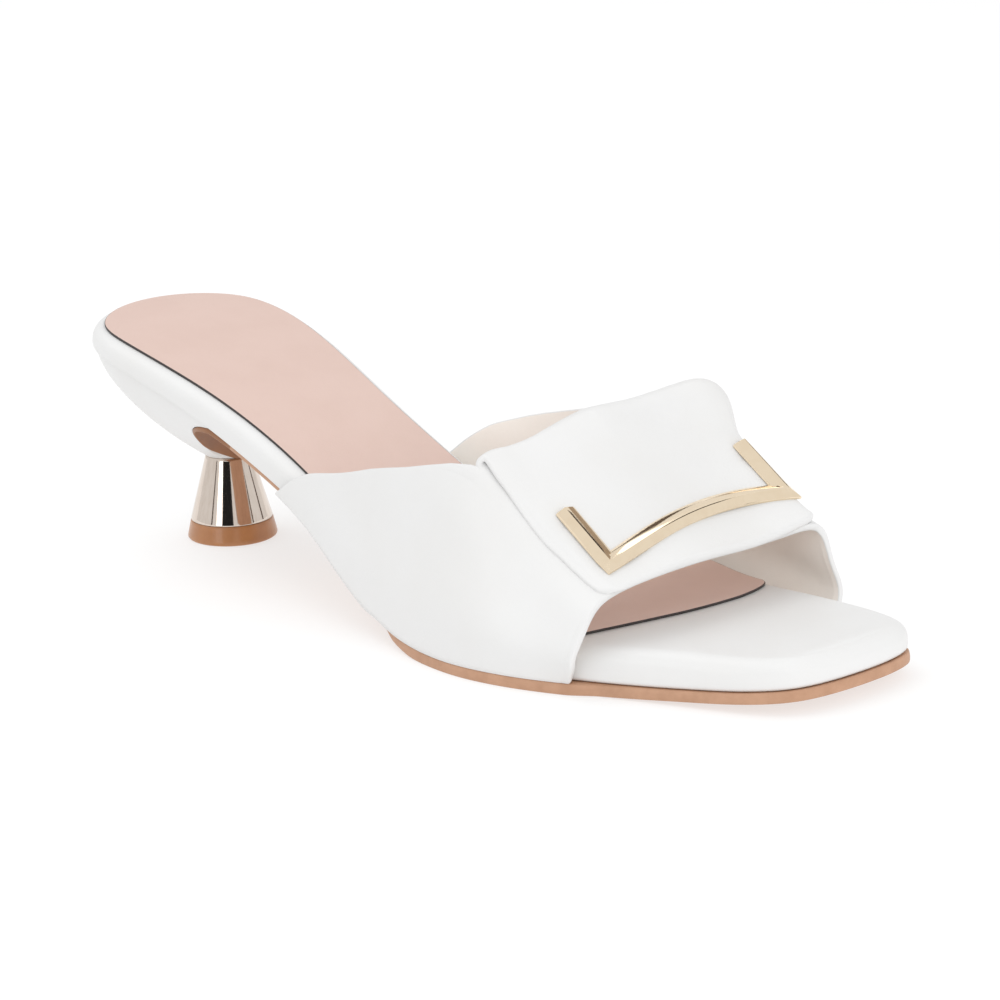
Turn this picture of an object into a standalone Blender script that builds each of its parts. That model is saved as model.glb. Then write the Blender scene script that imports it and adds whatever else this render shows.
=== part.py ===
"""Kitten heel mule for the right foot, as separate solids at real size.

Shoe coordinates are millimetres: x across the foot (plus is the inner, big-toe side), s forward
from the back of the heel seat, z up from the floor.  The model itself is in metres, with the toe
along -Y, the inner side along +X, and its origin on the floor under the middle of the shoe.
"""

import math

import bmesh
import bpy
import numpy as np

MM = 0.001
GAP = 0.3

# Middle of the finished shoe, in shoe coordinates.
CENTRE_X = -0.08
CENTRE_S = 125.37

# Outline of the footbed, once round from the back of the heel: x, s.
FOOTBED_OUTLINE = (
    (0.0, 0.0),
    (-16.7, 4.5),
    (-26.2, 14.0),
    (-29.4, 30.0),
    (-29.8, 60.0),
    (-31.4, 95.0),
    (-34.6, 125.0),
    (-39.0, 149.0),
    (-41.2, 166.0),
    (-38.6, 184.0),
    (-33.8, 198.0),
    (-28.6, 212.0),
    (-23.6, 226.0),
    (-19.0, 238.0),
    (-12.6, 246.0),
    (-3.0, 249.4),
    (8.0, 250.4),
    (18.6, 249.6),
    (26.2, 246.2),
    (29.9, 238.0),
    (31.4, 226.0),
    (31.9, 212.0),
    (32.6, 199.0),
    (35.6, 187.0),
    (38.9, 173.5),
    (37.4, 161.0),
    (31.5, 149.0),
    (24.0, 136.0),
    (19.2, 122.0),
    (17.5, 105.0),
    (18.3, 88.0),
    (20.9, 73.0),
    (24.4, 58.0),
    (27.7, 43.0),
    (29.2, 28.0),
    (26.2, 14.0),
    (16.7, 4.5),
)
TOE_ROW = 16

# Side profile of the footbed: s, top height, underside height.
FOOTBED_PROFILE = (
    (0.0, 59.6, 54.0),
    (20.0, 57.0, 51.0),
    (35.0, 54.1, 47.8),
    (65.0, 46.6, 39.2),
    (80.0, 41.8, 33.8),
    (95.0, 36.0, 28.0),
    (105.0, 31.4, 23.4),
    (115.0, 26.4, 17.4),
    (125.0, 21.5, 11.2),
    (135.0, 17.4, 6.1),
    (145.0, 14.6, 3.6),
    (155.0, 12.7, 2.9),
    (170.0, 11.2, 2.9),
    (185.0, 10.9, 2.9),
    (200.0, 11.6, 3.0),
    (225.0, 12.4, 4.1),
    (250.5, 12.9, 6.5),
)
FOOTBED_TOP_ROUND = 3.2
FOOTBED_SIDE_ROUND = 1.3
FOOTBED_CROWN = 0.5

# Insock: edge inset, thickness, and the bowed front edge at s.
INSOCK_INSET = 3.6
INSOCK_THICKNESS = 0.8
INSOCK_FRONT = 195.6
INSOCK_FRONT_SLANT = 3.7
INSOCK_FRONT_BOW = 4.8

# Outsole: s, how far its edge stands out from the footbed edge on the outer side and on
# the inner side, thickness.
OUTSOLE_TABLE = (
    (60.0, -1.3, -1.3, 1.4),
    (120.0, -1.2, -1.2, 1.6),
    (136.0, -0.2, -0.2, 2.1),
    (142.0, 1.3, 1.3, 2.4),
    (152.0, 2.1, 2.1, 2.8),
    (196.0, 2.1, 2.1, 2.8),
    (204.0, 0.5, 2.1, 2.8),
    (213.0, 0.4, 2.1, 2.7),
    (222.0, 0.4, 0.4, 2.6),
    (251.0, 0.4, 0.4, 2.6),
)
OUTSOLE_HEEL_BEND = 71.5
BREAST_COVER_INSET = 0.9
BREAST_COVER_LEVELS = (0.9, 0.8, 0.7, 0.6, 0.5, 0.4, 0.3, 0.2, 0.1, 0.02)

# Heel: block under the seat, metal cone, top piece.
HEEL_S = 35.0
NECK_RADIUS = 6.1
NECK_HEIGHT = 22.6
CONE_FOOT_RADIUS = 10.9
CONE_FOOT_HEIGHT = 5.4
TOP_PIECE_RADIUS = 11.9
TOP_PIECE_BEVEL = 0.7
BLOCK_INSET = 1.0
BLOCK_FULLNESS = 1.62
BLOCK_FULLNESS_FRONT = 0.15
BREAST_ANGLES = (-59.0, 55.0)
BREAST_ANGLE_TOP = 45.0
BREAST_REACH = 32.5
BREAST_POWER = 3.5

# Strap sections across the foot.  The outer side (x below zero) and the inner side (x above
# zero) each have a low point, a middle point and a shoulder; the top lies between.
# s, outer low x, outer middle x, outer shoulder x, its height, top height,
# inner shoulder x, its height, inner middle x, inner low x.
STRAP_SECTIONS = (
    (88.0, -33.2, -33.0, -31.5, 49.0, 58.0, 29.0, 49.0, 24.6, 20.8),
    (110.0, -34.9, -34.0, -31.8, 49.0, 57.0, 32.0, 49.0, 25.6, 21.6),
    (130.0, -37.6, -35.6, -32.2, 49.2, 56.0, 36.2, 49.0, 31.6, 26.8),
    (150.0, -41.6, -37.8, -32.0, 49.4, 53.6, 38.8, 49.6, 38.2, 36.6),
    (165.0, -44.0, -39.2, -31.0, 48.2, 50.2, 41.0, 48.8, 42.4, 42.8),
    (175.0, -43.8, -39.4, -30.4, 41.4, 46.0, 40.8, 45.4, 43.0, 43.8),
    (185.0, -42.0, -38.0, -30.8, 31.8, 38.4, 40.4, 37.8, 43.0, 43.4),
    (195.0, -40.0, -37.2, -31.0, 25.8, 30.6, 40.0, 31.6, 42.2, 42.4),
    (205.0, -39.4, -37.4, -30.8, 22.6, 26.0, 39.2, 26.8, 41.4, 41.4),
    (215.0, -38.4, -36.8, -30.5, 21.2, 24.0, 38.2, 25.0, 40.6, 39.4),
)
STRAP_KNOTS = (-1.0, -0.87, -0.69, -0.5, -0.35, 0.0, 0.35, 0.5, 0.69, 0.87, 1.0)
STRAP_LOW = 0.27
STRAP_MIDDLE = 0.63
STRAP_FLANK = 0.7
STRAP_FLANK_DROP = 0.35
STRAP_TOP_X = 3.0
STRAP_EDGE_OUT = 2.1
STRAP_THICKNESS = 1.8
# How far the strap's lower edge reaches down past the footbed: s, depth.
STRAP_DROP = ((88.0, 1.4), (118.0, 1.9), (128.0, 1.5), (136.0, 0.0), (216.0, 0.0))

# Back edge of the strap up the outer side and up the inner side: s, height.
STRAP_BACK_OUTER = ((105.5, 35.5), (128.5, 41.0), (148.5, 45.5), (160.0, 47.8))
STRAP_BACK_INNER = ((110.0, 37.1), (118.5, 40.5), (130.5, 43.5), (150.0, 47.0), (159.0, 48.6))
STRAP_BACK_SOLE = (92.5, 97.0)
STRAP_BACK_TOP = (166.0, 167.0, 166.0)

# Front edge of the strap: place round the section, s.
STRAP_FRONT_EDGE = (
    (-1.0, 198.2),
    (-0.87, 202.2),
    (-0.69, 203.2),
    (-0.5, 203.8),
    (0.0, 205.8),
    (0.5, 208.8),
    (0.69, 211.4),
    (0.87, 215.0),
    (1.0, 213.5),
)

# Fold-over flap: it turns up behind the strap, loops over and lies on the strap.
FLAP_HALF_SPAN = 0.5
FLAP_THICKNESS = 2.2
FLAP_LOOP_HEIGHTS = ((-0.5, 1.0), (-0.25, 2.6), (0.0, 3.6), (0.3, 3.6), (0.5, 4.6))
FLAP_LOOP_REACH = 3.2
FLAP_LOOP_LENGTH = 15.0
FLAP_LOOP_LEAN = 0.3
FLAP_FRONT = ((-0.5, 205.6), (0.0, 207.4), (0.5, 207.8))
FLAP_CORNER = 0.09
FLAP_CORNER_BACK = 5.0

# Metal bracket on the flap: x, s along its ridge, from the outer tip to the inner tip.
BRACKET_PATH = (
    (-23.2, 183.8),
    (-23.4, 190.6),
    (-23.6, 197.6),
    (-11.0, 194.8),
    (4.0, 193.6),
    (20.0, 193.8),
    (35.0, 200.0),
    (35.5, 192.5),
    (35.6, 185.0),
)
BRACKET_WIDTH = 4.6
BRACKET_HEIGHT = 2.9
BRACKET_FOOT = 0.9
# Section of the bracket: share of the half width, height over the flap.
BRACKET_RING = (
    (-1.0, 0.0),
    (-1.0, BRACKET_FOOT),
    (0.0, BRACKET_HEIGHT),
    (1.0, BRACKET_FOOT),
    (1.0, 0.0),
    (0.5, 0.0),
    (0.0, 0.0),
    (-0.5, 0.0),
)

ROWS = 36
COLUMNS = 6

# Colours are linear RGB.
WHITE_LEATHER = (0.80, 0.80, 0.79)
NUDE_LINING = (0.76, 0.57, 0.50)
TAN_SOLE = (0.52, 0.30, 0.19)
ROSE_METAL = (0.72, 0.60, 0.53)
GOLD_METAL = (0.78, 0.64, 0.42)


def clear_scene():
    """Remove every object that is in the scene."""
    for item in list(bpy.data.objects):
        bpy.data.objects.remove(item, do_unlink=True)


def material(name, colour, roughness, metallic=0.0):
    """A Principled material with one colour."""
    made = bpy.data.materials.new(name)
    made.use_nodes = True
    shader = made.node_tree.nodes["Principled BSDF"]
    shader.inputs["Base Color"].default_value = (*colour, 1.0)
    shader.inputs["Roughness"].default_value = roughness
    shader.inputs["Metallic"].default_value = metallic
    return made


def natural_spline(knots, values):
    """Smooth curve through values at rising knots, as a function of the knot."""
    knots = np.asarray(knots, float)
    values = np.asarray(values, float)
    count = len(knots)
    step = np.diff(knots)
    slope = (np.diff(values, axis=0).T / step).T
    matrix = np.eye(count)
    right = np.zeros(values.shape)
    for i in range(1, count - 1):
        matrix[i, i - 1] = step[i - 1]
        matrix[i, i] = 2.0 * (step[i - 1] + step[i])
        matrix[i, i + 1] = step[i]
        right[i] = 6.0 * (slope[i] - slope[i - 1])
    bend = np.linalg.solve(matrix, right)

    def curve(place):
        place = np.clip(np.asarray(place, float), knots[0], knots[-1])
        i = np.clip(np.searchsorted(knots, place, side="right") - 1, 0, count - 2)
        width = step[i]
        back = (knots[i + 1] - place) / width
        front = (place - knots[i]) / width
        if values.ndim > 1:
            width, back, front = width[..., None], back[..., None], front[..., None]
        bent = (back**3 - back) * bend[i] + (front**3 - front) * bend[i + 1]
        return back * values[i] + front * values[i + 1] + bent * width**2 / 6.0

    return curve


def steady_spline(knots, values):
    """Curve through values at rising knots that never swings past them."""
    knots = np.asarray(knots, float)
    values = np.asarray(values, float)
    step = np.diff(knots)
    slope = np.diff(values) / step
    lean = np.zeros(len(knots))
    lean[0], lean[-1] = slope[0], slope[-1]
    for i in range(1, len(knots) - 1):
        if slope[i - 1] * slope[i] > 0.0:
            lean[i] = 2.0 * slope[i - 1] * slope[i] / (slope[i - 1] + slope[i])

    def curve(place):
        place = np.clip(np.asarray(place, float), knots[0], knots[-1])
        i = np.clip(np.searchsorted(knots, place, side="right") - 1, 0, len(step) - 1)
        t = (place - knots[i]) / step[i]
        low = (1.0 + 2.0 * t) * (1.0 - t) ** 2 * values[i] + t**2 * (3.0 - 2.0 * t) * values[i + 1]
        turn = t * (1.0 - t) ** 2 * lean[i] - t**2 * (1.0 - t) * lean[i + 1]
        return low + turn * step[i]

    return curve


def steady(table, number=1):
    """Curve through one column of a table, as a function of its first column."""
    rows = np.array(table)
    return steady_spline(rows[:, 0], rows[:, number])


def columns(table):
    """Smooth curves through the columns of a table, as one function of its first column."""
    rows = np.array(table)
    return natural_spline(rows[:, 0], rows[:, 1:])


def footbed_edges():
    """Edge of the footbed as two functions of s: the outer side's x and the inner side's x."""
    points = np.array(FOOTBED_OUTLINE)
    wrap = 5
    ring = np.vstack([points[-wrap:], points, points[: wrap + 1]])
    reach = np.concatenate([[0.0], np.cumsum(np.linalg.norm(np.diff(ring, axis=0), axis=1))])
    curve = natural_spline(reach, ring)
    heel, toe, end = reach[wrap], reach[wrap + TOE_ROW], reach[wrap + len(points)]
    outer = curve(np.linspace(heel, toe, 1200))
    inner = curve(np.linspace(end, toe, 1200))
    outer[:, 1] = np.maximum.accumulate(outer[:, 1])
    inner[:, 1] = np.maximum.accumulate(inner[:, 1])

    def outer_x(s):
        return np.interp(s, outer[:, 1], outer[:, 0])

    def inner_x(s):
        return np.interp(s, inner[:, 1], inner[:, 0])

    return outer_x, inner_x


OUTER_X, INNER_X = footbed_edges()
PROFILE = columns(FOOTBED_PROFILE)
LENGTH = FOOTBED_OUTLINE[TOE_ROW][1]


def bed_top(s):
    """Height of the footbed's top at s."""
    return PROFILE(s)[..., 0]


def bed_under(s):
    """Height of the footbed's underside at s."""
    return PROFILE(s)[..., 1]


def world(points):
    """Shoe coordinates in millimetres to model coordinates in metres."""
    points = np.asarray(points, float)
    moved = (points[..., 0] - CENTRE_X, CENTRE_S - points[..., 1], points[..., 2])
    return np.stack(moved, axis=-1) * MM


def make_object(name, bm, finish, smooth_angle=40.0):
    """Turn a closed bmesh in shoe coordinates into a named object."""
    for vert in bm.verts:
        vert.co = world(vert.co)
    bmesh.ops.recalc_face_normals(bm, faces=bm.faces)
    mesh = bpy.data.meshes.new(name)
    bm.to_mesh(mesh)
    bm.free()
    mesh.shade_smooth()
    mesh.set_sharp_from_angle(angle=math.radians(smooth_angle))
    mesh.materials.append(finish)
    item = bpy.data.objects.new(name, mesh)
    bpy.context.scene.collection.objects.link(item)
    return item


def add_row(bm, points):
    """One row of vertices."""
    return [bm.verts.new(point) for point in points]


def add_faces(bm, first, second):
    """Quads between two rows of vertices."""
    for i in range(len(first) - 1):
        bm.faces.new((first[i], first[i + 1], second[i + 1], second[i]))


def plate(name, outside, inside, finish):
    """Closed solid between two grids of the same size, walled round their border."""
    bm = bmesh.new()
    over = [add_row(bm, row) for row in outside]
    under = [add_row(bm, row) for row in inside]
    for grid in (over, under):
        for first, second in zip(grid, grid[1:]):
            add_faces(bm, first, second)
    for side in (0, -1):
        add_faces(bm, over[side], under[side])
        add_faces(bm, [row[side] for row in over], [row[side] for row in under])
    return make_object(name, bm, finish)


def blend(low, high, place):
    """Smooth step from 0 at low to 1 at high."""
    share = np.clip((place - low) / (high - low), 0.0, 1.0)
    return share * share * (3.0 - 2.0 * share)


def end_spaced(first, last, count):
    """Stations from first to last, closer together at both ends."""
    return first + (last - first) * 0.5 * (1.0 - np.cos(np.linspace(0.0, math.pi, count)))


def unit(vectors):
    """Vectors scaled to length one."""
    return vectors / np.maximum(np.linalg.norm(vectors, axis=-1, keepdims=True), 1e-9)


def outline_ring(inset):
    """Closed ring of (x, s) points round the footbed, moved in from its edge."""
    s = end_spaced(0.0, LENGTH, ROWS + 1)
    outer = np.stack([OUTER_X(s), s], axis=1)
    inner = np.stack([INNER_X(s), s], axis=1)[-2:0:-1]
    outer[0] = FOOTBED_OUTLINE[0]
    outer[-1] = FOOTBED_OUTLINE[TOE_ROW]
    ring = np.vstack([outer, inner])
    tangent = unit(np.roll(ring, -1, axis=0) - np.roll(ring, 1, axis=0))
    inward = np.stack([tangent[:, 1], -tangent[:, 0]], axis=1)
    return ring + inward * inset


def dome(half, q):
    """Share of the crown's height at place q across a row of that half width."""
    return (1.0 - q * q) * blend(0.0, 16.0, half)


def cap_ring(bm, ring, height, crown):
    """Close a footbed ring with rows that run straight across the foot."""
    far = len(ring) // 2
    rows = []
    for k in range(1, far):
        left, right = ring[k], ring[-k]
        half = (right.co.x - left.co.x) / 2.0
        row = [left]
        for j in range(1, COLUMNS):
            share = j / COLUMNS
            point = left.co.lerp(right.co, share)
            point.z = float(height(point.y)) + crown * float(dome(half, 2.0 * share - 1.0))
            row.append(bm.verts.new(point))
        rows.append([*row, right])
    for first, second in zip(rows, rows[1:]):
        add_faces(bm, first, second)
    for tip, row in ((ring[0], rows[0]), (ring[far], rows[-1])):
        for a, b in zip(row, row[1:]):
            bm.faces.new((tip, a, b))


def footbed(finish):
    """Padded footbed slab with a rounded top edge."""
    top, side = FOOTBED_TOP_ROUND, FOOTBED_SIDE_ROUND
    levels = [
        (side, bed_under, 0.0),
        (0.3 * side, bed_under, 0.3 * side),
        (0.0, bed_under, side),
    ]
    for angle in (0.0, 30.0, 60.0, 90.0):
        inset = top * (1.0 - math.cos(math.radians(angle)))
        drop = top * (1.0 - math.sin(math.radians(angle)))
        levels.append((inset, bed_top, -drop))
    bm = bmesh.new()
    rings = []
    for inset, height, rise in levels:
        ring = outline_ring(inset)
        rings.append(add_row(bm, np.column_stack([ring, height(ring[:, 1]) + rise])))
    for low, high in zip(rings, rings[1:]):
        add_faces(bm, low + low[:1], high + high[:1])
    cap_ring(bm, rings[0], bed_under, 0.0)
    cap_ring(bm, rings[-1], bed_top, FOOTBED_CROWN)
    return make_object("footbed", bm, finish)


def insock(finish):
    """Thin sock laid on the footbed, with a bowed front edge under the strap."""
    stations = end_spaced(INSOCK_INSET + 0.05, INSOCK_FRONT, ROWS - 5)
    ring = outline_ring(INSOCK_INSET)
    outer = ring[: ROWS + 1]
    inner = np.vstack([ring[:1], ring[: ROWS - 1 : -1]])
    q = np.linspace(-1.0, 1.0, COLUMNS + 1)
    weight = ((stations - stations[0]) / (stations[-1] - stations[0])) ** 4
    bow = INSOCK_FRONT_SLANT * q + INSOCK_FRONT_BOW * (1.0 - q**2)
    reach = stations[:, None] + weight[:, None] * bow
    left = np.interp(reach[:, 0], outer[:, 1], outer[:, 0])[:, None]
    right = np.interp(reach[:, -1], inner[:, 1], inner[:, 0])[:, None]
    x = left + (right - left) * (q + 1.0) / 2.0
    height = bed_top(reach) + FOOTBED_CROWN * dome((right - left) / 2.0, q) + GAP
    under = np.stack([x, reach, height], axis=-1)
    return plate("insock", under + (0.0, 0.0, INSOCK_THICKNESS), under, finish)


def seat_reach(angle):
    """Distance from the heel's axis to the block's upper edge, at an angle from the toe."""
    offset = outline_ring(BLOCK_INSET) - np.array((0.0, HEEL_S))
    around = np.arctan2(offset[:, 0], offset[:, 1])
    order = np.argsort(around)
    distance = np.linalg.norm(offset[order], axis=1)
    return np.interp(angle, around[order], distance, period=2.0 * math.pi)


def block_height(s, level):
    """Height of the heel block at a level from 0, the neck, to 1, the seat."""
    return NECK_HEIGHT + (bed_under(s) - GAP - NECK_HEIGHT) * level


def block_side(angle, level):
    """Point (x, s, z) on the bowl-shaped side of the heel block."""
    swell = 1.0 - (1.0 - level) ** (BLOCK_FULLNESS + BLOCK_FULLNESS_FRONT * np.cos(angle))
    radius = NECK_RADIUS + (seat_reach(angle) - NECK_RADIUS) * swell
    x = radius * np.sin(angle)
    s = HEEL_S + radius * np.cos(angle)
    return np.stack([x, s, block_height(s, level)], axis=-1)


def breast_angles(level):
    """Angles from the toe at which the outer and inner sides meet the front face."""
    low = np.array(BREAST_ANGLES)
    high = np.sign(low) * BREAST_ANGLE_TOP
    return np.radians(low + (high - low) * level**4)


def breast_row(level, count, inset=0.0):
    """Row of points across the front face of the heel, outer side first."""
    outer, inner = block_side(breast_angles(level), level)
    middle = HEEL_S + NECK_RADIUS + (BREAST_REACH - NECK_RADIUS) * level**BREAST_POWER
    q = np.linspace(-1.0, 1.0, count)
    shrink = 1.0 - inset / inner[0]
    x = np.where(q < 0.0, -q * outer[0], q * inner[0]) * shrink
    side = np.where(q < 0.0, outer[1], inner[1])
    s = middle + (side - middle) * (q * shrink) ** 2
    return np.stack([x, s, block_height(s, level)], axis=1)


def heel_block(finish):
    """Covered heel block, from the seat down to the neck, with a hollow front face."""
    levels = (0.0, 0.04, 0.1, 0.2, 0.3, 0.4, 0.5, 0.6, 0.7, 0.8, 0.9, 1.0)
    front = 9
    back = 33
    bm = bmesh.new()
    rings = []
    for level in levels:
        first, last = breast_angles(level)[::-1]
        side = block_side(np.linspace(first, 2.0 * math.pi + last, back), level)
        face = breast_row(level, front)[1:-1]
        rings.append(add_row(bm, np.vstack([face, side])))
    for low, high in zip(rings, rings[1:]):
        add_faces(bm, low + low[:1], high + high[:1])
    bm.faces.new(rings[0])
    face, side = rings[-1][: front - 2], rings[-1][front - 2 :]
    rows = [[side[-1], *face, side[0]]]
    for k in range(1, back // 2):
        left, right = side[-1 - k], side[k]
        row = [left]
        for j in range(1, front - 1):
            point = left.co.lerp(right.co, j / (front - 1))
            point.z = float(block_height(point.y, 1.0))
            row.append(bm.verts.new(point))
        rows.append([*row, right])
    for first, second in zip(rows, rows[1:]):
        add_faces(bm, first, second)
    for a, b in zip(rows[-1], rows[-1][1:]):
        bm.faces.new((side[back // 2], a, b))
    return make_object("heel_block", bm, finish, 50.0)


def turned(name, profile, finish):
    """Solid of revolution about the heel's axis, from rows of radius and height."""
    segments = 32
    bm = bmesh.new()
    rings = []
    for radius, height in profile:
        ring = []
        for k in range(segments):
            angle = 2.0 * math.pi * k / segments
            x = radius * math.sin(angle)
            s = HEEL_S + radius * math.cos(angle)
            ring.append(bm.verts.new((x, s, height)))
        rings.append(ring)
    for low, high in zip(rings, rings[1:]):
        add_faces(bm, low + low[:1], high + high[:1])
    bm.faces.new(rings[0])
    bm.faces.new(rings[-1])
    return make_object(name, bm, finish, 30.0)


def heel_cone(finish):
    """Metal cone between the block's neck and the top piece."""
    profile = (
        (CONE_FOOT_RADIUS, CONE_FOOT_HEIGHT),
        (NECK_RADIUS, NECK_HEIGHT - GAP),
    )
    return turned("heel_cone", profile, finish)


def top_piece(finish):
    """Wearing piece that the heel stands on."""
    profile = (
        (TOP_PIECE_RADIUS - TOP_PIECE_BEVEL, 0.0),
        (TOP_PIECE_RADIUS, TOP_PIECE_BEVEL),
        (CONE_FOOT_RADIUS, CONE_FOOT_HEIGHT - GAP),
    )
    return turned("top_piece", profile, finish)


def surface_normals(grid):
    """Unit normals of a grid of points."""
    along = np.gradient(grid, axis=0)
    across = np.gradient(grid, axis=1)
    return unit(np.cross(along, across))


def outsole(finish):
    """Thin outsole from the toe to the heel, turned down over the heel's front face."""
    outer_out, inner_out, thick = (steady(OUTSOLE_TABLE, k) for k in (1, 2, 3))
    stations = end_spaced(LENGTH + 0.3, OUTSOLE_HEEL_BEND, 2 * ROWS)[: 2 * ROWS // 2]
    stations = np.concatenate([stations, np.linspace(stations[-1] - 5.0, OUTSOLE_HEEL_BEND, 20)])
    count = 9
    share = np.linspace(0.0, 1.0, count)
    rows = []
    for s in stations:
        inside = min(s, LENGTH - 0.02)
        left = OUTER_X(inside) - outer_out(s)
        right = INNER_X(inside) + inner_out(s)
        x = left + (right - left) * share
        rows.append(np.column_stack([x, np.full(count, s), bed_under(np.full(count, s)) - GAP]))
    thickness = [float(thick(s)) for s in stations]
    for level in BREAST_COVER_LEVELS:
        row = breast_row(level, count, BREAST_COVER_INSET)
        rows.append(row + (0.0, GAP, -GAP))
        thickness.append(float(thick(60.0)))
    inside = np.array(rows)
    normals = surface_normals(inside)
    if normals[0, 0, 2] > 0.0:
        normals = -normals
    outside = inside + normals * np.array(thickness)[:, None, None]
    outside[..., 2] = np.maximum(outside[..., 2], 0.0)
    return plate("outsole", outside, inside, finish)


SECTION = columns(STRAP_SECTIONS)
DROP = steady(STRAP_DROP)


def strap_section(s):
    """Curve round the strap's outer face at s: place from -1 to 1 gives x and z."""
    low_o, mid_o, top_o, high_o, top, top_i, high_i, mid_i, low_i = SECTION(s)
    base = float(bed_under(s) - DROP(s))

    def flank(x, height):
        across = STRAP_TOP_X + STRAP_FLANK * (x - STRAP_TOP_X)
        return across, top + STRAP_FLANK_DROP * (height - top)

    points = [(OUTER_X(s) - STRAP_EDGE_OUT, base)]
    points.append((low_o, base + STRAP_LOW * (high_o - base)))
    points.append((mid_o, base + STRAP_MIDDLE * (high_o - base)))
    points.append((top_o, high_o))
    points.append(flank(top_o, high_o))
    points.append((STRAP_TOP_X, top))
    points.append(flank(top_i, high_i))
    points.append((top_i, high_i))
    points.append((mid_i, base + STRAP_MIDDLE * (high_i - base)))
    points.append((low_i, base + STRAP_LOW * (high_i - base)))
    points.append((INNER_X(s) + STRAP_EDGE_OUT, base))
    return natural_spline(STRAP_KNOTS, points)


def strap_point(q, s):
    """Point on the strap's outer face at place q round the section at s."""
    x, z = strap_section(s)(q)
    return np.array((x, s, z))


def strap_frame(q, s):
    """Point on the strap's outer face, its outward normal and its forward direction."""
    step = 0.01
    point = strap_point(q, s)
    forward = unit(strap_point(q, s + 0.5) - strap_point(q, s - 0.5))
    low, high = max(q - step, -1.0), min(q + step, 1.0)
    across = strap_point(high, s) - strap_point(low, s)
    return point, unit(np.cross(across, forward)), forward


def place_at_height(s, height, side):
    """Place round the section at which the strap's wall reaches a height."""
    q = np.linspace(1.0, 0.4, 241) * side
    z = strap_section(s)(q)[:, 1]
    return float(q[np.argmax(z >= height)])


def strap_back_edge():
    """Back edge of the strap: s as a function of the place round the section."""
    rows = [(-1.0, STRAP_BACK_SOLE[0])]
    rows += [(place_at_height(s, z, -1.0), s) for s, z in STRAP_BACK_OUTER]
    rows += zip((-FLAP_HALF_SPAN, 0.0, FLAP_HALF_SPAN), STRAP_BACK_TOP)
    rows += [(place_at_height(s, z, 1.0), s) for s, z in reversed(STRAP_BACK_INNER)]
    rows.append((1.0, STRAP_BACK_SOLE[1]))
    return steady(rows)


def strap_places():
    """Places of the grid's columns round the section, with the flap's sides among them."""
    wall = np.linspace(1.0, FLAP_HALF_SPAN, 11)
    top = np.linspace(-FLAP_HALF_SPAN, FLAP_HALF_SPAN, 19)
    near = FLAP_HALF_SPAN - np.array((0.015, 0.035, 0.06))
    top = np.sort(np.concatenate([top, near, -near]))
    return np.concatenate([-wall[:-1], top, wall[-2::-1]])


def flap_front(q):
    """Front edge of the flap: s at place q, drawn back round both corners."""
    s = float(steady(FLAP_FRONT)(q))
    inside = min(1.0, (FLAP_HALF_SPAN - abs(q)) / FLAP_CORNER)
    return s - FLAP_CORNER_BACK * (1.0 - math.sqrt(1.0 - (1.0 - inside) ** 2))


def flap_path(q, back):
    """Flap's middle line at place q: rows of s, lift off the strap, and travel direction."""
    height = float(np.interp(q, *np.array(FLAP_LOOP_HEIGHTS).T))
    half, half_flap = STRAP_THICKNESS / 2.0, FLAP_THICKNESS / 2.0
    radius = (height + half_flap + half) / 2.0
    reach = min(radius, FLAP_LOOP_REACH)
    rows = []
    for angle in np.radians((30.0, 60.0, 90.0, 120.0, 150.0)):
        s = back - reach * math.sin(angle)
        rows.append((s, radius - half - radius * math.cos(angle)))
    lying = GAP + half_flap
    for share in np.linspace(0.0, 1.0, 15):
        ahead = (flap_front(q) - back) * share**1.15
        rise = (height + half_flap - lying) * (1.0 - blend(0.0, FLAP_LOOP_LENGTH, ahead))
        rows.append((back + ahead, lying + rise))
    rows = np.array(rows)
    start = np.array([(back, -half)])
    travel = np.gradient(np.vstack([start, rows]), axis=0)[1:]
    return rows, unit(travel)


def upper_faces():
    """Both faces of the strap and flap sheet, row by row from the strap's front edge."""
    places = strap_places()
    back_edge, front_edge = strap_back_edge(), steady(STRAP_FRONT_EDGE)
    across = []
    for q in places:
        back, front = float(back_edge(q)), float(front_edge(q))
        outer, inner = [], []
        for share in end_spaced(1.0, 0.0, 15):
            point, normal, _ = strap_frame(q, back + (front - back) * share)
            if abs(q) == 1.0:
                normal = unit(normal * (1.0, 1.0, 0.0))
            outer.append(point)
            inner.append(point - normal * STRAP_THICKNESS)
        if abs(q) <= FLAP_HALF_SPAN + 1e-6:
            rows, travel = flap_path(q, back)
            count = len(rows)
            for k in range(count):
                point, normal, forward = strap_frame(q, rows[k, 0])
                clear = blend(0.0, FLAP_LOOP_LENGTH, rows[k, 0] - back)
                normal = unit(normal * (FLAP_LOOP_LEAN + (1.0 - FLAP_LOOP_LEAN) * clear, 1.0, 1.0))
                middle = point + normal * rows[k, 1]
                away = forward * travel[k, 1] - normal * travel[k, 0]
                swell = blend(0.0, 6.0, k)
                half = (STRAP_THICKNESS + (FLAP_THICKNESS - STRAP_THICKNESS) * swell) / 2.0
                outer.append(middle + away * half)
                inner.append(middle - away * half)
        across.append((outer, inner))
    return across


def upper(finish):
    """Strap over the foot and the flap folded forward from its back edge, in one sheet."""
    across = upper_faces()
    bm = bmesh.new()
    outer = [add_row(bm, column[0]) for column in across]
    inner = [add_row(bm, column[1]) for column in across]
    for first, second, under_first, under_second in zip(outer, outer[1:], inner, inner[1:]):
        shared = min(len(first), len(second))
        add_faces(bm, first[:shared], second[:shared])
        add_faces(bm, under_first[:shared], under_second[:shared])
        bm.faces.new((first[0], second[0], under_second[0], under_first[0]))
        last = shared - 1
        bm.faces.new((first[last], second[last], under_second[last], under_first[last]))
        for long, under in ((first, under_first), (second, under_second)):
            if len(long) > shared:
                add_faces(bm, long[last:], under[last:])
    for side in (0, -1):
        add_faces(bm, outer[side], inner[side])
    return make_object("upper", bm, finish, 50.0)


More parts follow.
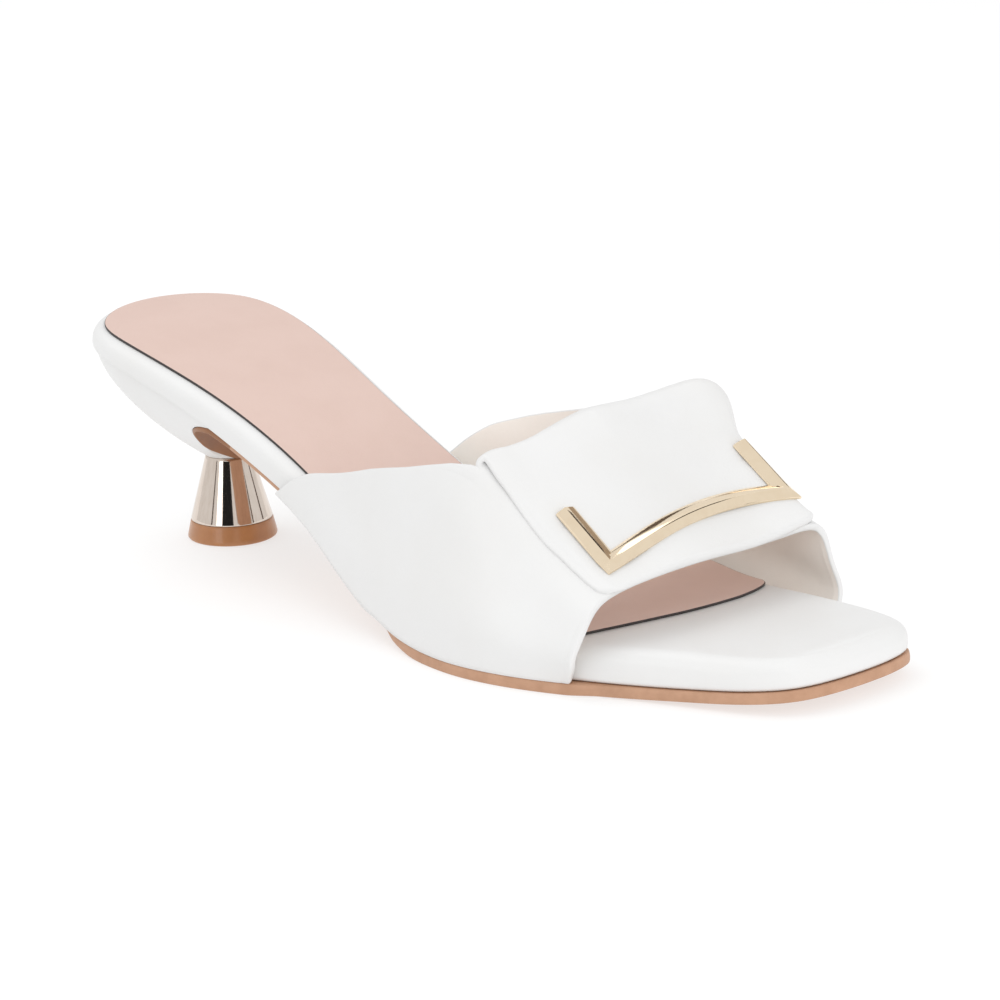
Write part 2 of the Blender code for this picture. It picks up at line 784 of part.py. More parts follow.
def flap_top(x, s):
    """Point and normal on the flap's top face at x and s."""
    q = np.linspace(-0.6, 0.6, 121)
    q_here = float(np.interp(x, strap_section(s)(q)[:, 0], q))
    point, normal, _ = strap_frame(q_here, s)
    return point + normal * (FLAP_THICKNESS + GAP), normal


def bracket(finish):
    """Ridged metal bracket: a bowed bar across the flap with an arm at each end."""
    turns = (0, 2, 6, 8)
    path = []
    for first, last in zip(turns, turns[1:]):
        knots = np.array(BRACKET_PATH[first : last + 1])
        curve = natural_spline(np.arange(len(knots)), knots)
        steps = 5 if len(knots) == 3 else 17
        points = curve(np.linspace(0.0, len(knots) - 1, steps))
        path.extend(points if first == 0 else points[1:])
    path = np.array(path)
    corners = [4, 20]
    bm = bmesh.new()
    rings = []
    for k, (x, s) in enumerate(path):
        before = unit(path[k] - path[max(k - 1, 0)])
        after = unit(path[min(k + 1, len(path) - 1)] - path[k])
        if k == 0:
            before = after
        if k == len(path) - 1:
            after = before
        along = unit(before + after)
        aside = np.array((-along[1], along[0]))
        spread = BRACKET_WIDTH / 2.0
        if k in corners:
            spread /= max(0.5, float(np.dot(along, after)))
        ring = []
        for reach, rise in BRACKET_RING:
            place = np.array((x, s)) + aside * spread * reach
            point, normal = flap_top(place[0], place[1])
            ring.append(bm.verts.new(point + normal * (GAP + rise)))
        rings.append(ring)
    for first, second in zip(rings, rings[1:]):
        add_faces(bm, first + first[:1], second + second[:1])
    bm.faces.new(rings[0])
    bm.faces.new(rings[-1])
    return make_object("bracket", bm, finish, 20.0)


def main():
    """Build every piece."""
    clear_scene()
    white = material("white_leather", WHITE_LEATHER, 0.45)
    heel_white = material("heel_leather", WHITE_LEATHER, 0.45)
    strap_white = material("strap_leather", WHITE_LEATHER, 0.45)
    nude = material("nude_lining", NUDE_LINING, 0.6)
    tan = material("tan_sole", TAN_SOLE, 0.5)
    tan_heel = material("tan_top_piece", TAN_SOLE, 0.5)
    rose = material("rose_metal", ROSE_METAL, 0.12, 1.0)
    gold = material("gold_metal", GOLD_METAL, 0.15, 1.0)
    outsole(tan)
    footbed(white)
    insock(nude)
    heel_block(heel_white)
    heel_cone(rose)
    top_piece(tan_heel)
    upper(strap_white)
    bracket(gold)


main()
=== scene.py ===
"""Kitten heel mule for the right foot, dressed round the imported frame.

Shoe coordinates are millimetres: x across the foot (plus is the inner, big-toe side), s forward
from the back of the footbed, z up from the floor.  The frame's boxes place them in the model,
whose toe points along -Y.
"""

from __future__ import annotations

import logging
import math
from dataclasses import dataclass, field
from enum import Enum
from typing import Any, Callable, Sequence

import bmesh
import bpy
import numpy as np
from mathutils import Matrix, Vector


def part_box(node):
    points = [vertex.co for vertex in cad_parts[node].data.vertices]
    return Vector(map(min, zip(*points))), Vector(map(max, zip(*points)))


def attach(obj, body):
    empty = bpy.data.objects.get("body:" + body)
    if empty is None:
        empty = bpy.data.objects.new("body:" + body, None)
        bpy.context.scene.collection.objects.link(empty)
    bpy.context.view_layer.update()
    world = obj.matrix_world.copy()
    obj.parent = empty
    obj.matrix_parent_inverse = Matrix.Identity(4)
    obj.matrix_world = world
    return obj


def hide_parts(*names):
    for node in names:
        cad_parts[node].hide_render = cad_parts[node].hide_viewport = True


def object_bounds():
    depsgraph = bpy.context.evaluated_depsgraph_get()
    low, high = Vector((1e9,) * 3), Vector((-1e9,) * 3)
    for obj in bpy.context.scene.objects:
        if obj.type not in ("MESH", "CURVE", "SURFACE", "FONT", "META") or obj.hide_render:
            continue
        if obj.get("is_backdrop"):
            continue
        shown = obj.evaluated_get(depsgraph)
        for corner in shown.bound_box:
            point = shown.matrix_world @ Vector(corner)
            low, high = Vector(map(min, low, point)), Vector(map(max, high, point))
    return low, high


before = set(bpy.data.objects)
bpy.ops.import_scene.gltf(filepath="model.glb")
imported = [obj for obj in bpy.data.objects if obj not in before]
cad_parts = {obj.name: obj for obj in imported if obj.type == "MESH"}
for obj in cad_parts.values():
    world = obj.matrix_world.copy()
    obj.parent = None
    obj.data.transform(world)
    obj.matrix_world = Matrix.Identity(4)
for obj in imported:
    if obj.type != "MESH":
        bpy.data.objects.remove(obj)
CAD_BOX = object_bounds()

LOG = logging.getLogger("mule")
MM = 0.001
ROOT = "root"
TINY = 1e-9

Colour = tuple[float, float, float]
Place = tuple[float, float, float]
Row = tuple[float, ...]
RowHeight = Callable[[np.ndarray, float, np.ndarray], np.ndarray]


# ---------------------------------------------------------------- curves and vectors


class Spline:
    """Natural cubic curve through rows of values at rising knots."""

    def __init__(self, knots: Sequence[float], values: Any) -> None:
        """Solve for the curve's bends.

        Args:
            knots: Rising places of the values.
            values: One row of values for each knot.
        """
        self.knots = np.asarray(knots, float)
        self.values = np.asarray(values, float)
        self.bends = np.tensordot(self.solver(self.knots), self.values, axes=1)

    @staticmethod
    def solver(knots: np.ndarray) -> np.ndarray:
        """Matrix that turns values at the knots into second derivatives.

        Args:
            knots: Rising places of the values.

        Returns:
            Square matrix, one row for each knot.
        """
        count = len(knots)
        step = np.diff(knots)
        left = np.eye(count)
        right = np.zeros((count, count))
        for i in range(1, count - 1):
            left[i, i - 1] = step[i - 1]
            left[i, i] = 2.0 * (step[i - 1] + step[i])
            left[i, i + 1] = step[i]
            right[i, i - 1] = 6.0 / step[i - 1]
            right[i, i] = -6.0 / step[i - 1] - 6.0 / step[i]
            right[i, i + 1] = 6.0 / step[i]
        return np.linalg.solve(left, right)

    @staticmethod
    def weights(knots: np.ndarray, place: np.ndarray) -> tuple[np.ndarray, ...]:
        """Interval and blending weights of each place.

        Args:
            knots: Rising knots.
            place: Places along the knots, clamped to their range.

        Returns:
            Interval numbers, two value weights and two bend weights.
        """
        place = np.clip(place, knots[0], knots[-1])
        i = np.clip(np.searchsorted(knots, place, side="right") - 1, 0, len(knots) - 2)
        width = knots[i + 1] - knots[i]
        back = (knots[i + 1] - place) / width
        front = 1.0 - back
        square = width**2 / 6.0
        return i, back, front, (back**3 - back) * square, (front**3 - front) * square

    def __call__(self, place: Any) -> np.ndarray:
        """Values at the places, one row for each.

        Args:
            place: Places along the knots.

        Returns:
            One row of values for each place.
        """
        i, back, front, low, high = self.weights(self.knots, np.asarray(place, float))
        if self.values.ndim > 1:
            back, front, low, high = (w[..., None] for w in (back, front, low, high))
        flat = back * self.values[i] + front * self.values[i + 1]
        return flat + low * self.bends[i] + high * self.bends[i + 1]


class Steady:
    """Curve through values at rising knots that never swings past them."""

    def __init__(self, knots: Sequence[float], values: Sequence[float]) -> None:
        """Work out the curve's leans.

        Args:
            knots: Rising places of the values.
            values: One value for each knot.
        """
        self.knots = np.asarray(knots, float)
        self.values = np.asarray(values, float)
        step = np.diff(self.knots)
        slope = np.diff(self.values) / step
        self.lean = np.zeros(len(self.knots))
        self.lean[0], self.lean[-1] = slope[0], slope[-1]
        for i in range(1, len(self.knots) - 1):
            if slope[i - 1] * slope[i] > 0.0:
                self.lean[i] = 2.0 * slope[i - 1] * slope[i] / (slope[i - 1] + slope[i])

    def __call__(self, place: Any) -> np.ndarray:
        """Values at the places.

        Args:
            place: Places along the knots.

        Returns:
            One value for each place.
        """
        knots, values = self.knots, self.values
        place = np.clip(np.asarray(place, float), knots[0], knots[-1])
        i = np.clip(np.searchsorted(knots, place, side="right") - 1, 0, len(knots) - 2)
        step = knots[i + 1] - knots[i]
        t = (place - knots[i]) / step
        flat = (1.0 + 2.0 * t) * (1.0 - t) ** 2 * values[i] + t**2 * (3.0 - 2.0 * t) * values[i + 1]
        turn = t * (1.0 - t) ** 2 * self.lean[i] - t**2 * (1.0 - t) * self.lean[i + 1]
        return flat + turn * step


def steady_column(table: Sequence[Row], number: int = 1) -> Steady:
    """Steady curve through one column of a table, over its first column."""
    rows = np.array(table)
    return Steady(rows[:, 0], rows[:, number])


def smooth_columns(table: Sequence[Row]) -> Spline:
    """Smooth curves through a table's columns, over its first column."""
    rows = np.array(table)
    return Spline(rows[:, 0], rows[:, 1:])


def blend(low: float, high: float, place: Any) -> np.ndarray:
    """Smooth step from 0 at low to 1 at high."""
    share = np.clip((np.asarray(place, float) - low) / (high - low), 0.0, 1.0)
    return share * share * (3.0 - 2.0 * share)


def end_spaced(first: float, last: float, count: int) -> np.ndarray:
    """Stations from first to last, closer together at both ends."""
    return first + (last - first) * 0.5 * (1.0 - np.cos(np.linspace(0.0, math.pi, count)))


def unit(vectors: np.ndarray) -> np.ndarray:
    """Vectors scaled to length one."""
    return vectors / np.maximum(np.linalg.norm(vectors, axis=-1, keepdims=True), TINY)


def grid_normals(grid: np.ndarray) -> np.ndarray:
    """Unit normals of a grid of points.

    Args:
        grid: Rows of points.

    Returns:
        One normal for each point.
    """
    along = np.gradient(grid, axis=0)
    across = np.gradient(grid, axis=1)
    return unit(np.cross(along, across))


@dataclass(frozen=True)
class ShoeAxes:
    """Places shoe coordinates in the model, from the boxes of two CAD nodes."""

    heel_x: float
    back_y: float

    @classmethod
    def from_frame(cls) -> "ShoeAxes":
        """Axes whose heel stands where the CAD top piece does."""
        low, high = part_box("top_piece")
        return cls((low.x + high.x) / 2.0 / MM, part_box("footbed")[1].y / MM)

    def world(self, points: Any) -> np.ndarray:
        """Points in shoe coordinates, turned into metres in the model.

        Args:
            points: Points x, s, z in millimetres.

        Returns:
            The same points in the model.
        """
        points = np.asarray(points, float)
        parts = (points[..., 0] + self.heel_x, self.back_y - points[..., 1], points[..., 2])
        return np.stack(parts, axis=-1) * MM


# ---------------------------------------------------------------- meshes


class Side(Enum):
    """Material index of a sheet's faces."""

    OUTER = 0
    INNER = 1
    RIM = 2


@dataclass
class MeshMaker:
    """Collects vertices and faces in shoe coordinates and makes a closed object of them."""

    axes: ShoeAxes
    verts: list[np.ndarray] = field(default_factory=list)
    faces: list[tuple[int, ...]] = field(default_factory=list)
    kinds: list[int] = field(default_factory=list)
    count: int = 0

    def add(self, points: np.ndarray) -> np.ndarray:
        """Add points and return their numbers in the same arrangement.

        Args:
            points: Array of points whose last axis is x, s, z.

        Returns:
            Array of vertex numbers.
        """
        flat = np.asarray(points, float).reshape(-1, 3)
        numbers = np.arange(self.count, self.count + len(flat))
        self.verts.append(flat)
        self.count += len(flat)
        return numbers.reshape(np.asarray(points).shape[:-1])

    def face(self, corners: Sequence[int], kind: Side = Side.OUTER) -> None:
        """Add one face, dropping corners that repeat.

        Args:
            corners: Vertex numbers round the face.
            kind: Material of the face.
        """
        kept = [int(c) for i, c in enumerate(corners) if c != corners[i - 1]]
        if len(kept) > 2:
            self.faces.append(tuple(kept))
            self.kinds.append(kind.value)

    def strip(self, first: Sequence[int], second: Sequence[int], kind: Side = Side.OUTER) -> None:
        """Quads between two rows of vertex numbers."""
        for i in range(len(first) - 1):
            self.face((first[i], first[i + 1], second[i + 1], second[i]), kind)

    def band(self, rings: Sequence[Sequence[int]]) -> None:
        """Quads between closed rings of vertex numbers."""
        for low, high in zip(rings, rings[1:]):
            self.strip([*low, low[0]], [*high, high[0]])

    def fan(self, tip: int, row: Sequence[int]) -> None:
        """Triangles from one vertex to a row of them."""
        for left, right in zip(row, row[1:]):
            self.face((tip, left, right))

    def rows_across(self, pairs: Sequence[tuple[int, int]], columns: int,
                    height: RowHeight) -> list[list[int]]:
        """Add rows of points straight across from one vertex to another.

        Args:
            pairs: Vertex numbers at the two ends of each row.
            columns: Steps across.
            height: Height of a row's points.

        Returns:
            Vertex numbers of each row.
        """
        points = np.vstack(self.verts)
        share = np.linspace(0.0, 1.0, columns + 1)[1:-1, None]
        rows = []
        for left, right in pairs:
            row = points[left] + (points[right] - points[left]) * share
            half = (points[right, 0] - points[left, 0]) / 2.0
            row[:, 2] = height(row[:, 1], half, 2.0 * share[:, 0] - 1.0)
            rows.append([left, *self.add(row), right])
        return rows

    def cap(self, ring: Sequence[int], height: RowHeight, columns: int) -> None:
        """Close a ring with rows that run straight across it.

        Args:
            ring: Vertex numbers, the first and the middle one at the two ends.
            height: Height of a row's points.
            columns: Steps across.
        """
        far = len(ring) // 2
        rows = self.rows_across([(ring[k], ring[-k]) for k in range(1, far)], columns, height)
        for first, second in zip(rows, rows[1:]):
            self.strip(first, second)
        self.fan(ring[0], rows[0])
        self.fan(ring[far], rows[-1])

    def sheet(self, outer: np.ndarray, inner: np.ndarray, valid: np.ndarray, bulge: Any,
              power: float = 0.8, steps: int = 8, lined: int | None = None) -> None:
        """Closed sheet between two grids, with a rounded rim round every free edge.

        Args:
            outer: Outer grid of points.
            inner: Inner grid of points.
            valid: True where the grid has a point.
            bulge: How far the rim stands out, for the whole grid or point by point.
            power: Roundness of the rim: small is square, one is round.
            steps: Steps round the rim.
            lined: First row from which the inner side has the outer side's finish.
        """
        size = np.broadcast_to(bulge, valid.shape).ravel()
        lined = len(valid) if lined is None else lined
        over, under = self.add(outer), self.add(inner)
        flat = (outer + inner).reshape(-1, 3) / 2.0
        half = (outer - inner).reshape(-1, 3) / 2.0
        start = over[0, 0]
        edges: dict[tuple[int, int], np.ndarray] = {}
        rows, cols = valid.shape
        for r in range(rows - 1):
            for c in range(cols - 1):
                spots = ((r, c), (r, c + 1), (r + 1, c + 1), (r + 1, c))
                if not all(valid[spot] for spot in spots):
                    continue
                corners = [int(over[spot]) - start for spot in spots]
                self.face([int(over[spot]) for spot in spots], Side.OUTER)
                back = Side.INNER if r < lined else Side.OUTER
                self.face([int(under[spot]) for spot in reversed(spots)], back)
                middle = flat[corners].mean(axis=0)
                for a, b in zip(corners, corners[1:] + corners[:1]):
                    if (b, a) in edges:
                        del edges[(b, a)]
                    else:
                        edges[(a, b)] = middle
        outward: dict[int, np.ndarray] = {}
        for (a, b), middle in edges.items():
            along = unit(flat[b] - flat[a])
            away = (flat[a] + flat[b]) / 2.0 - middle
            away = unit(away - along * np.dot(away, along))
            for spot in (a, b):
                outward[spot] = outward.get(spot, np.zeros(3)) + away
        angles = np.linspace(0.0, math.pi, steps + 1)[1:-1]
        stand = np.sin(angles) ** power
        arcs = {}
        for spot, away in outward.items():
            reach = np.outer(stand, unit(away) * size[spot])
            ring = flat[spot] + np.outer(np.cos(angles), half[spot]) + reach
            arcs[spot] = [int(over.flat[spot]), *self.add(ring), int(under.flat[spot])]
        for a, b in edges:
            self.strip(arcs[b], arcs[a], Side.RIM)

    def build(self, name: str, smooth_angle: float = 60.0) -> bpy.types.Object:
        """Make the object.

        Args:
            name: Plain name of the piece.
            smooth_angle: Edges sharper than this many degrees stay sharp.

        Returns:
            The new object, facing out.
        """
        mesh = bpy.data.meshes.new(name)
        mesh.from_pydata(self.axes.world(np.vstack(self.verts)).tolist(), [], self.faces)
        mesh.polygons.foreach_set("material_index", self.kinds)
        bm = bmesh.new()
        bm.from_mesh(mesh)
        loose = [v for v in bm.verts if not v.link_faces]
        bmesh.ops.delete(bm, geom=loose, context="VERTS")
        bmesh.ops.recalc_face_normals(bm, faces=bm.faces)
        bm.to_mesh(mesh)
        bm.free()
        mesh.shade_smooth()
        mesh.set_sharp_from_angle(angle=math.radians(smooth_angle))
        made = bpy.data.objects.new(name, mesh)
        bpy.context.scene.collection.objects.link(made)
        return made


def fit_out(made: bpy.types.Object, node: str,
            finishes: Sequence[bpy.types.Material]) -> bpy.types.Object:
    """Give a piece its finishes and its place in the frame.

    Args:
        made: The new piece.
        node: CAD node that it stands for.
        finishes: Materials in the order of the piece's face numbers.

    Returns:
        The same piece.
    """
    for finish in finishes:
        made.data.materials.append(finish)
    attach(made, ROOT)
    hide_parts(node)
    return made


# ---------------------------------------------------------------- shader maths


@dataclass(frozen=True)
class Grain:
    """Noise: the size of its lumps in millimetres, and the number and weight of its finer layers."""

    size: float
    layers: float = 2.0
    weight: float = 0.5


class Wire:
    """Output socket of a node, with arithmetic that adds nodes."""

    def __init__(self, graph: "Graph", socket: bpy.types.NodeSocket) -> None:
        """Keep the graph and the socket."""
        self.graph = graph
        self.socket = socket

    def math(self, operation: str, *values: Any) -> "Wire":
        """Math node over the given values."""
        inputs = {number: value for number, value in enumerate(values)}
        return self.graph.node("ShaderNodeMath", {"operation": operation}, inputs)

    def __add__(self, other: Any) -> "Wire":
        """Sum."""
        return self.math("ADD", self, other)

    def __radd__(self, other: Any) -> "Wire":
        """Sum with a number on the left."""
        return self.math("ADD", other, self)

    def __sub__(self, other: Any) -> "Wire":
        """Difference."""
        return self.math("SUBTRACT", self, other)

    def __rsub__(self, other: Any) -> "Wire":
        """Difference from a number."""
        return self.math("SUBTRACT", other, self)

    def __mul__(self, other: Any) -> "Wire":
        """Product."""
        return self.math("MULTIPLY", self, other)

    def __rmul__(self, other: Any) -> "Wire":
        """Product with a number on the left."""
        return self.math("MULTIPLY", other, self)

    def step(self, low: float, high: float) -> "Wire":
        """Smooth step from 0 at low to 1 at high.

        Args:
            low: Value that gives 0.
            high: Value that gives 1.

        Returns:
            The stepped value.
        """
        settings = {"interpolation_type": "SMOOTHSTEP"}
        inputs = {"Value": self, "From Min": low, "From Max": high}
        return self.graph.node("ShaderNodeMapRange", settings, inputs)


class Graph:
    """Node tree of one material."""

    COLOUR_IN: int = 6
    OTHER_IN: int = 7
    COLOUR_OUT: int = 2

    def __init__(self, name: str) -> None:
        """Start a material whose tree is empty.

        Args:
            name: Name of the material.
        """
        self.material = bpy.data.materials.new(name)
        self.material.use_nodes = True
        self.tree = self.material.node_tree
        self.tree.nodes.clear()

    def node(self, kind: str, settings: dict[str, Any] | None = None,
             inputs: dict[Any, Any] | None = None, output: Any = 0) -> Wire:
        """Add a node.

        Args:
            kind: Node type.
            settings: Properties that are set first.
            inputs: Values or wires by socket name or number.
            output: Name or number of the output that is returned.

        Returns:
            Wire from that output.
        """
        made = self.tree.nodes.new(kind)
        for key, value in (settings or {}).items():
            setattr(made, key, value)
        for key, value in (inputs or {}).items():
            if isinstance(value, Wire):
                self.tree.links.new(value.socket, made.inputs[key])
            else:
                made.inputs[key].default_value = value
        return Wire(self, made.outputs[output])

    def places(self) -> Wire:
        """Object coordinates in metres."""
        return self.node("ShaderNodeTexCoord", output="Object")

    def stretched(self, scale: tuple[float, float, float]) -> Wire:
        """Object coordinates, multiplied axis by axis."""
        inputs = {0: self.places(), 1: scale}
        return self.node("ShaderNodeVectorMath", {"operation": "MULTIPLY"}, inputs)

    def noise(self, grain: Grain, vector: Wire | None = None) -> Wire:
        """Noise from 0 to 1.

        Args:
            grain: Its lumps.
            vector: Coordinates, the object's own unless given.

        Returns:
            Value from 0 to 1.
        """
        inputs = {"Vector": vector or self.places(), "Scale": 1.0 / (grain.size * MM),
                  "Detail": grain.layers, "Roughness": grain.weight}
        return self.node("ShaderNodeTexNoise", {"noise_dimensions": "3D"}, inputs)

    def cells(self, size: float) -> Wire:
        """Cell pattern whose cells have that size in millimetres."""
        inputs = {"Vector": self.places(), "Scale": 1.0 / (size * MM)}
        return self.node("ShaderNodeTexVoronoi", {"feature": "F1"}, inputs, "Distance")

    def mix(self, share: Any, first: Colour | Wire, second: Colour | Wire) -> Wire:
        """Mixed colour."""
        inputs = {"Factor": share, self.COLOUR_IN: self.rgba(first), self.OTHER_IN: self.rgba(second)}
        return self.node("ShaderNodeMix", {"data_type": "RGBA"}, inputs, self.COLOUR_OUT)

    @staticmethod
    def rgba(colour: Any) -> Any:
        """Colour with its alpha, or the wire itself."""
        return colour if isinstance(colour, Wire) else (*colour, 1.0)

    def bump(self, height: Wire, depth: float) -> Wire:
        """Normal from a height of 0 to 1 that stands for a depth in millimetres."""
        inputs = {"Strength": 1.0, "Distance": depth * MM, "Height": height}
        return self.node("ShaderNodeBump", None, inputs, "Normal")

    def surface(self, **inputs: Any) -> bpy.types.Material:
        """Principled shader with the given sockets, underscores standing for spaces.

        Args:
            inputs: Values or wires by socket name.

        Returns:
            The finished material.
        """
        named = {key.replace("_", " "): value for key, value in inputs.items()}
        for key in ("Base Color", "Emission Color"):
            if key in named:
                named[key] = self.rgba(named[key])
        shader = self.node("ShaderNodeBsdfPrincipled", None, named)
        output = self.tree.nodes.new("ShaderNodeOutputMaterial")
        self.tree.links.new(shader.socket, output.inputs["Surface"])
        return self.material


# ---------------------------------------------------------------- finishes


@dataclass(frozen=True)
class WhiteLeather:
    """Smooth white calf with fine pores and a soft sheen."""

    name: str = "white_leather"
    colour: Colour = (0.81, 0.81, 0.807)
    creamy: Colour = (0.797, 0.794, 0.786)
    tone: Grain = Grain(26.0, 3.0)
    tone_steps: tuple[float, float] = (0.35, 0.7)
    roughness: float = 0.40
    rubbed: Grain = Grain(1.6, 3.0)
    roughness_range: float = 0.16
    ior: float = 1.46
    pore: float = 0.55
    fibre: Grain = Grain(0.28, 3.0, 0.6)
    swell: Grain = Grain(3.4)
    shares: tuple[float, float, float] = (0.45, 0.35, 0.5)
    depth: float = 0.035

    def make(self) -> bpy.types.Material:
        """Build the material.

        Returns:
            The finished material.
        """
        graph = Graph(self.name)
        tone = graph.noise(self.tone).step(*self.tone_steps)
        pores = graph.cells(self.pore)
        fine = graph.noise(self.fibre)
        swell = graph.noise(self.swell)
        height = pores * self.shares[0] + fine * self.shares[1] + swell * self.shares[2]
        rough = self.roughness + (graph.noise(self.rubbed) - 0.5) * self.roughness_range
        return graph.surface(
            Base_Color=graph.mix(tone, self.colour, self.creamy),
            Roughness=rough,
            IOR=self.ior,
            Normal=graph.bump(height, self.depth),
        )


@dataclass(frozen=True)
class Lining:
    """Matt lining leather."""

    name: str
    colour: Colour
    deeper: Colour
    tone: Grain = Grain(14.0, 4.0, 0.55)
    tone_steps: tuple[float, float] = (0.3, 0.75)
    roughness: float = 0.58
    roughness_range: float = 0.2
    ior: float = 1.45
    grain: Grain = Grain(0.5, 3.0, 0.6)
    cell: float = 0.8
    shares: tuple[float, float] = (0.6, 0.4)
    depth: float = 0.05

    def make(self) -> bpy.types.Material:
        """Build the material.

        Returns:
            The finished material.
        """
        graph = Graph(self.name)
        tone = graph.noise(self.tone).step(*self.tone_steps)
        grain = graph.noise(self.grain)
        height = grain * self.shares[0] + graph.cells(self.cell) * self.shares[1]
        return graph.surface(
            Base_Color=graph.mix(tone, self.colour, self.deeper),
            Roughness=self.roughness + (grain - 0.5) * self.roughness_range,
            IOR=self.ior,
            Normal=graph.bump(height, self.depth),
        )


@dataclass(frozen=True)
class InkedEdge:
    """Cut edge of the insock, inked dark."""

    name: str = "inked_edge"
    colour: Colour = (0.030, 0.024, 0.024)
    worn: Colour = (0.052, 0.042, 0.040)
    grain: Grain = Grain(0.7, 3.0)
    roughness: float = 0.5
    roughness_range: float = 0.2
    depth: float = 0.03

    def make(self) -> bpy.types.Material:
        """Build the material.

        Returns:
            The finished material.
        """
        graph = Graph(self.name)
        grain = graph.noise(self.grain)
        return graph.surface(
            Base_Color=graph.mix(grain, self.colour, self.worn),
            Roughness=self.roughness + (grain - 0.5) * self.roughness_range,
            Normal=graph.bump(grain, self.depth),
        )


@dataclass(frozen=True)
class SoleLeather:
    """Tan sole leather or the like, with a fine flecked grain."""

    name: str
    colour: Colour
    deeper: Colour
    roughness: float
    depth: float = 0.03
    coat: float = 0.0
    tone: Grain = Grain(5.0, 5.0, 0.6)
    tone_steps: tuple[float, float] = (0.3, 0.75)
    fleck: Grain = Grain(0.35, 3.0, 0.6)
    roughness_range: float = 0.12
    coat_roughness: float = 0.12

    def make(self) -> bpy.types.Material:
        """Build the material.

        Returns:
            The finished material.
        """
        graph = Graph(self.name)
        tone = graph.noise(self.tone).step(*self.tone_steps)
        fleck = graph.noise(self.fleck)
        return graph.surface(
            Base_Color=graph.mix(tone, self.colour, self.deeper),
            Roughness=self.roughness + (fleck - 0.5) * self.roughness_range,
            Coat_Weight=self.coat,
            Coat_Roughness=self.coat_roughness,
            Normal=graph.bump(fleck, self.depth),
        )


@dataclass(frozen=True)
class TurnedMetal:
    """Bright plated metal with faint streaks down the heel."""

    name: str = "rose_metal"
    colour: Colour = (0.74, 0.65, 0.575)
    deeper: Colour = (0.68, 0.585, 0.51)
    roughness: float = 0.07
    streaks: Place = (900.0, 900.0, 12.0)
    streak: Grain = Grain(1000.0, 3.0, 0.6)
    streak_steps: tuple[float, float] = (0.35, 0.75)
    streak_range: float = 0.06
    haze: Grain = Grain(4.0)
    haze_range: float = 0.03

    def make(self) -> bpy.types.Material:
        """Build the material.

        Returns:
            The finished material.
        """
        graph = Graph(self.name)
        streak = graph.noise(self.streak, graph.stretched(self.streaks))
        haze = graph.noise(self.haze)
        return graph.surface(
            Base_Color=graph.mix(streak.step(*self.streak_steps), self.colour, self.deeper),
            Metallic=1.0,
            Roughness=self.roughness + (streak - 0.5) * self.streak_range + (haze - 0.5) * self.haze_range,
        )


@dataclass(frozen=True)
class PlatedMetal:
    """Champagne plated metal, polished and very lightly rubbed."""

    name: str = "gold_metal"
    colour: Colour = (0.94, 0.79, 0.59)
    deeper: Colour = (0.915, 0.76, 0.56)
    roughness: float = 0.09
    haze: Grain = Grain(3.0, 3.0)
    haze_steps: tuple[float, float] = (0.35, 0.7)
    haze_range: float = 0.04
    rub: Grain = Grain(0.25)
    rub_range: float = 0.03
    depth: float = 0.0015

    def make(self) -> bpy.types.Material:
        """Build the material.

        Returns:
            The finished material.
        """
        graph = Graph(self.name)
        haze = graph.noise(self.haze)
        rub = graph.noise(self.rub)
        return graph.surface(
            Base_Color=graph.mix(haze.step(*self.haze_steps), self.colour, self.deeper),
            Metallic=1.0,
            Roughness=self.roughness + (haze - 0.5) * self.haze_range + (rub - 0.5) * self.rub_range,
            Normal=graph.bump(rub, self.depth),
        )


@dataclass(frozen=True)
class MattPaper:
    """Matt studio paper, which may glow."""

    name: str
    colour: Colour
    paler: Colour
    glow: float
    roughness: float
    grain: Grain

    def make(self) -> bpy.types.Material:
        """Build the material.

        Returns:
            The finished material.
        """
        graph = Graph(self.name)
        return graph.surface(
            Base_Color=graph.mix(graph.noise(self.grain), self.colour, self.paler),
            Roughness=self.roughness,
            Specular_IOR_Level=0.0,
            Emission_Color=(1.0, 1.0, 1.0),
            Emission_Strength=self.glow,
        )


NUDE_LINING = Lining("nude_lining", (0.735, 0.55, 0.485), (0.715, 0.53, 0.465))
STRAP_LINING = Lining("strap_lining", (0.94, 0.89, 0.83), (0.91, 0.855, 0.795))
TAN_SOLE = SoleLeather("tan_sole", (0.56, 0.32, 0.20), (0.48, 0.265, 0.16), 0.5)
BREAST_LEATHER = SoleLeather("breast_leather", (0.31, 0.13, 0.05), (0.265, 0.11, 0.042), 0.45, 0.01)
TOP_PIECE = SoleLeather("tan_top_piece", (0.48, 0.215, 0.082), (0.42, 0.18, 0.07), 0.33, 0.01, 0.3)
PALE_FLOOR = MattPaper("pale_floor", (0.40, 0.40, 0.40), (0.405, 0.405, 0.405), 0.62, 0.9, Grain(40.0))


@dataclass
class Wardrobe:
    """Every finish of the shoe, made once."""

    white: bpy.types.Material
    nude: bpy.types.Material
    strap_lining: bpy.types.Material
    ink: bpy.types.Material
    sole: bpy.types.Material
    breast: bpy.types.Material
    top_piece: bpy.types.Material
    rose: bpy.types.Material
    gold: bpy.types.Material

    @classmethod
    def make(cls) -> "Wardrobe":
        """Build the materials.

        Returns:
            All the finishes.
        """
        return cls(
            white=WhiteLeather().make(),
            nude=NUDE_LINING.make(),
            strap_lining=STRAP_LINING.make(),
            ink=InkedEdge().make(),
            sole=TAN_SOLE.make(),
            breast=BREAST_LEATHER.make(),
            top_piece=TOP_PIECE.make(),
            rose=TurnedMetal().make(),
            gold=PlatedMetal().make(),
        )


# ---------------------------------------------------------------- the shoe's forms


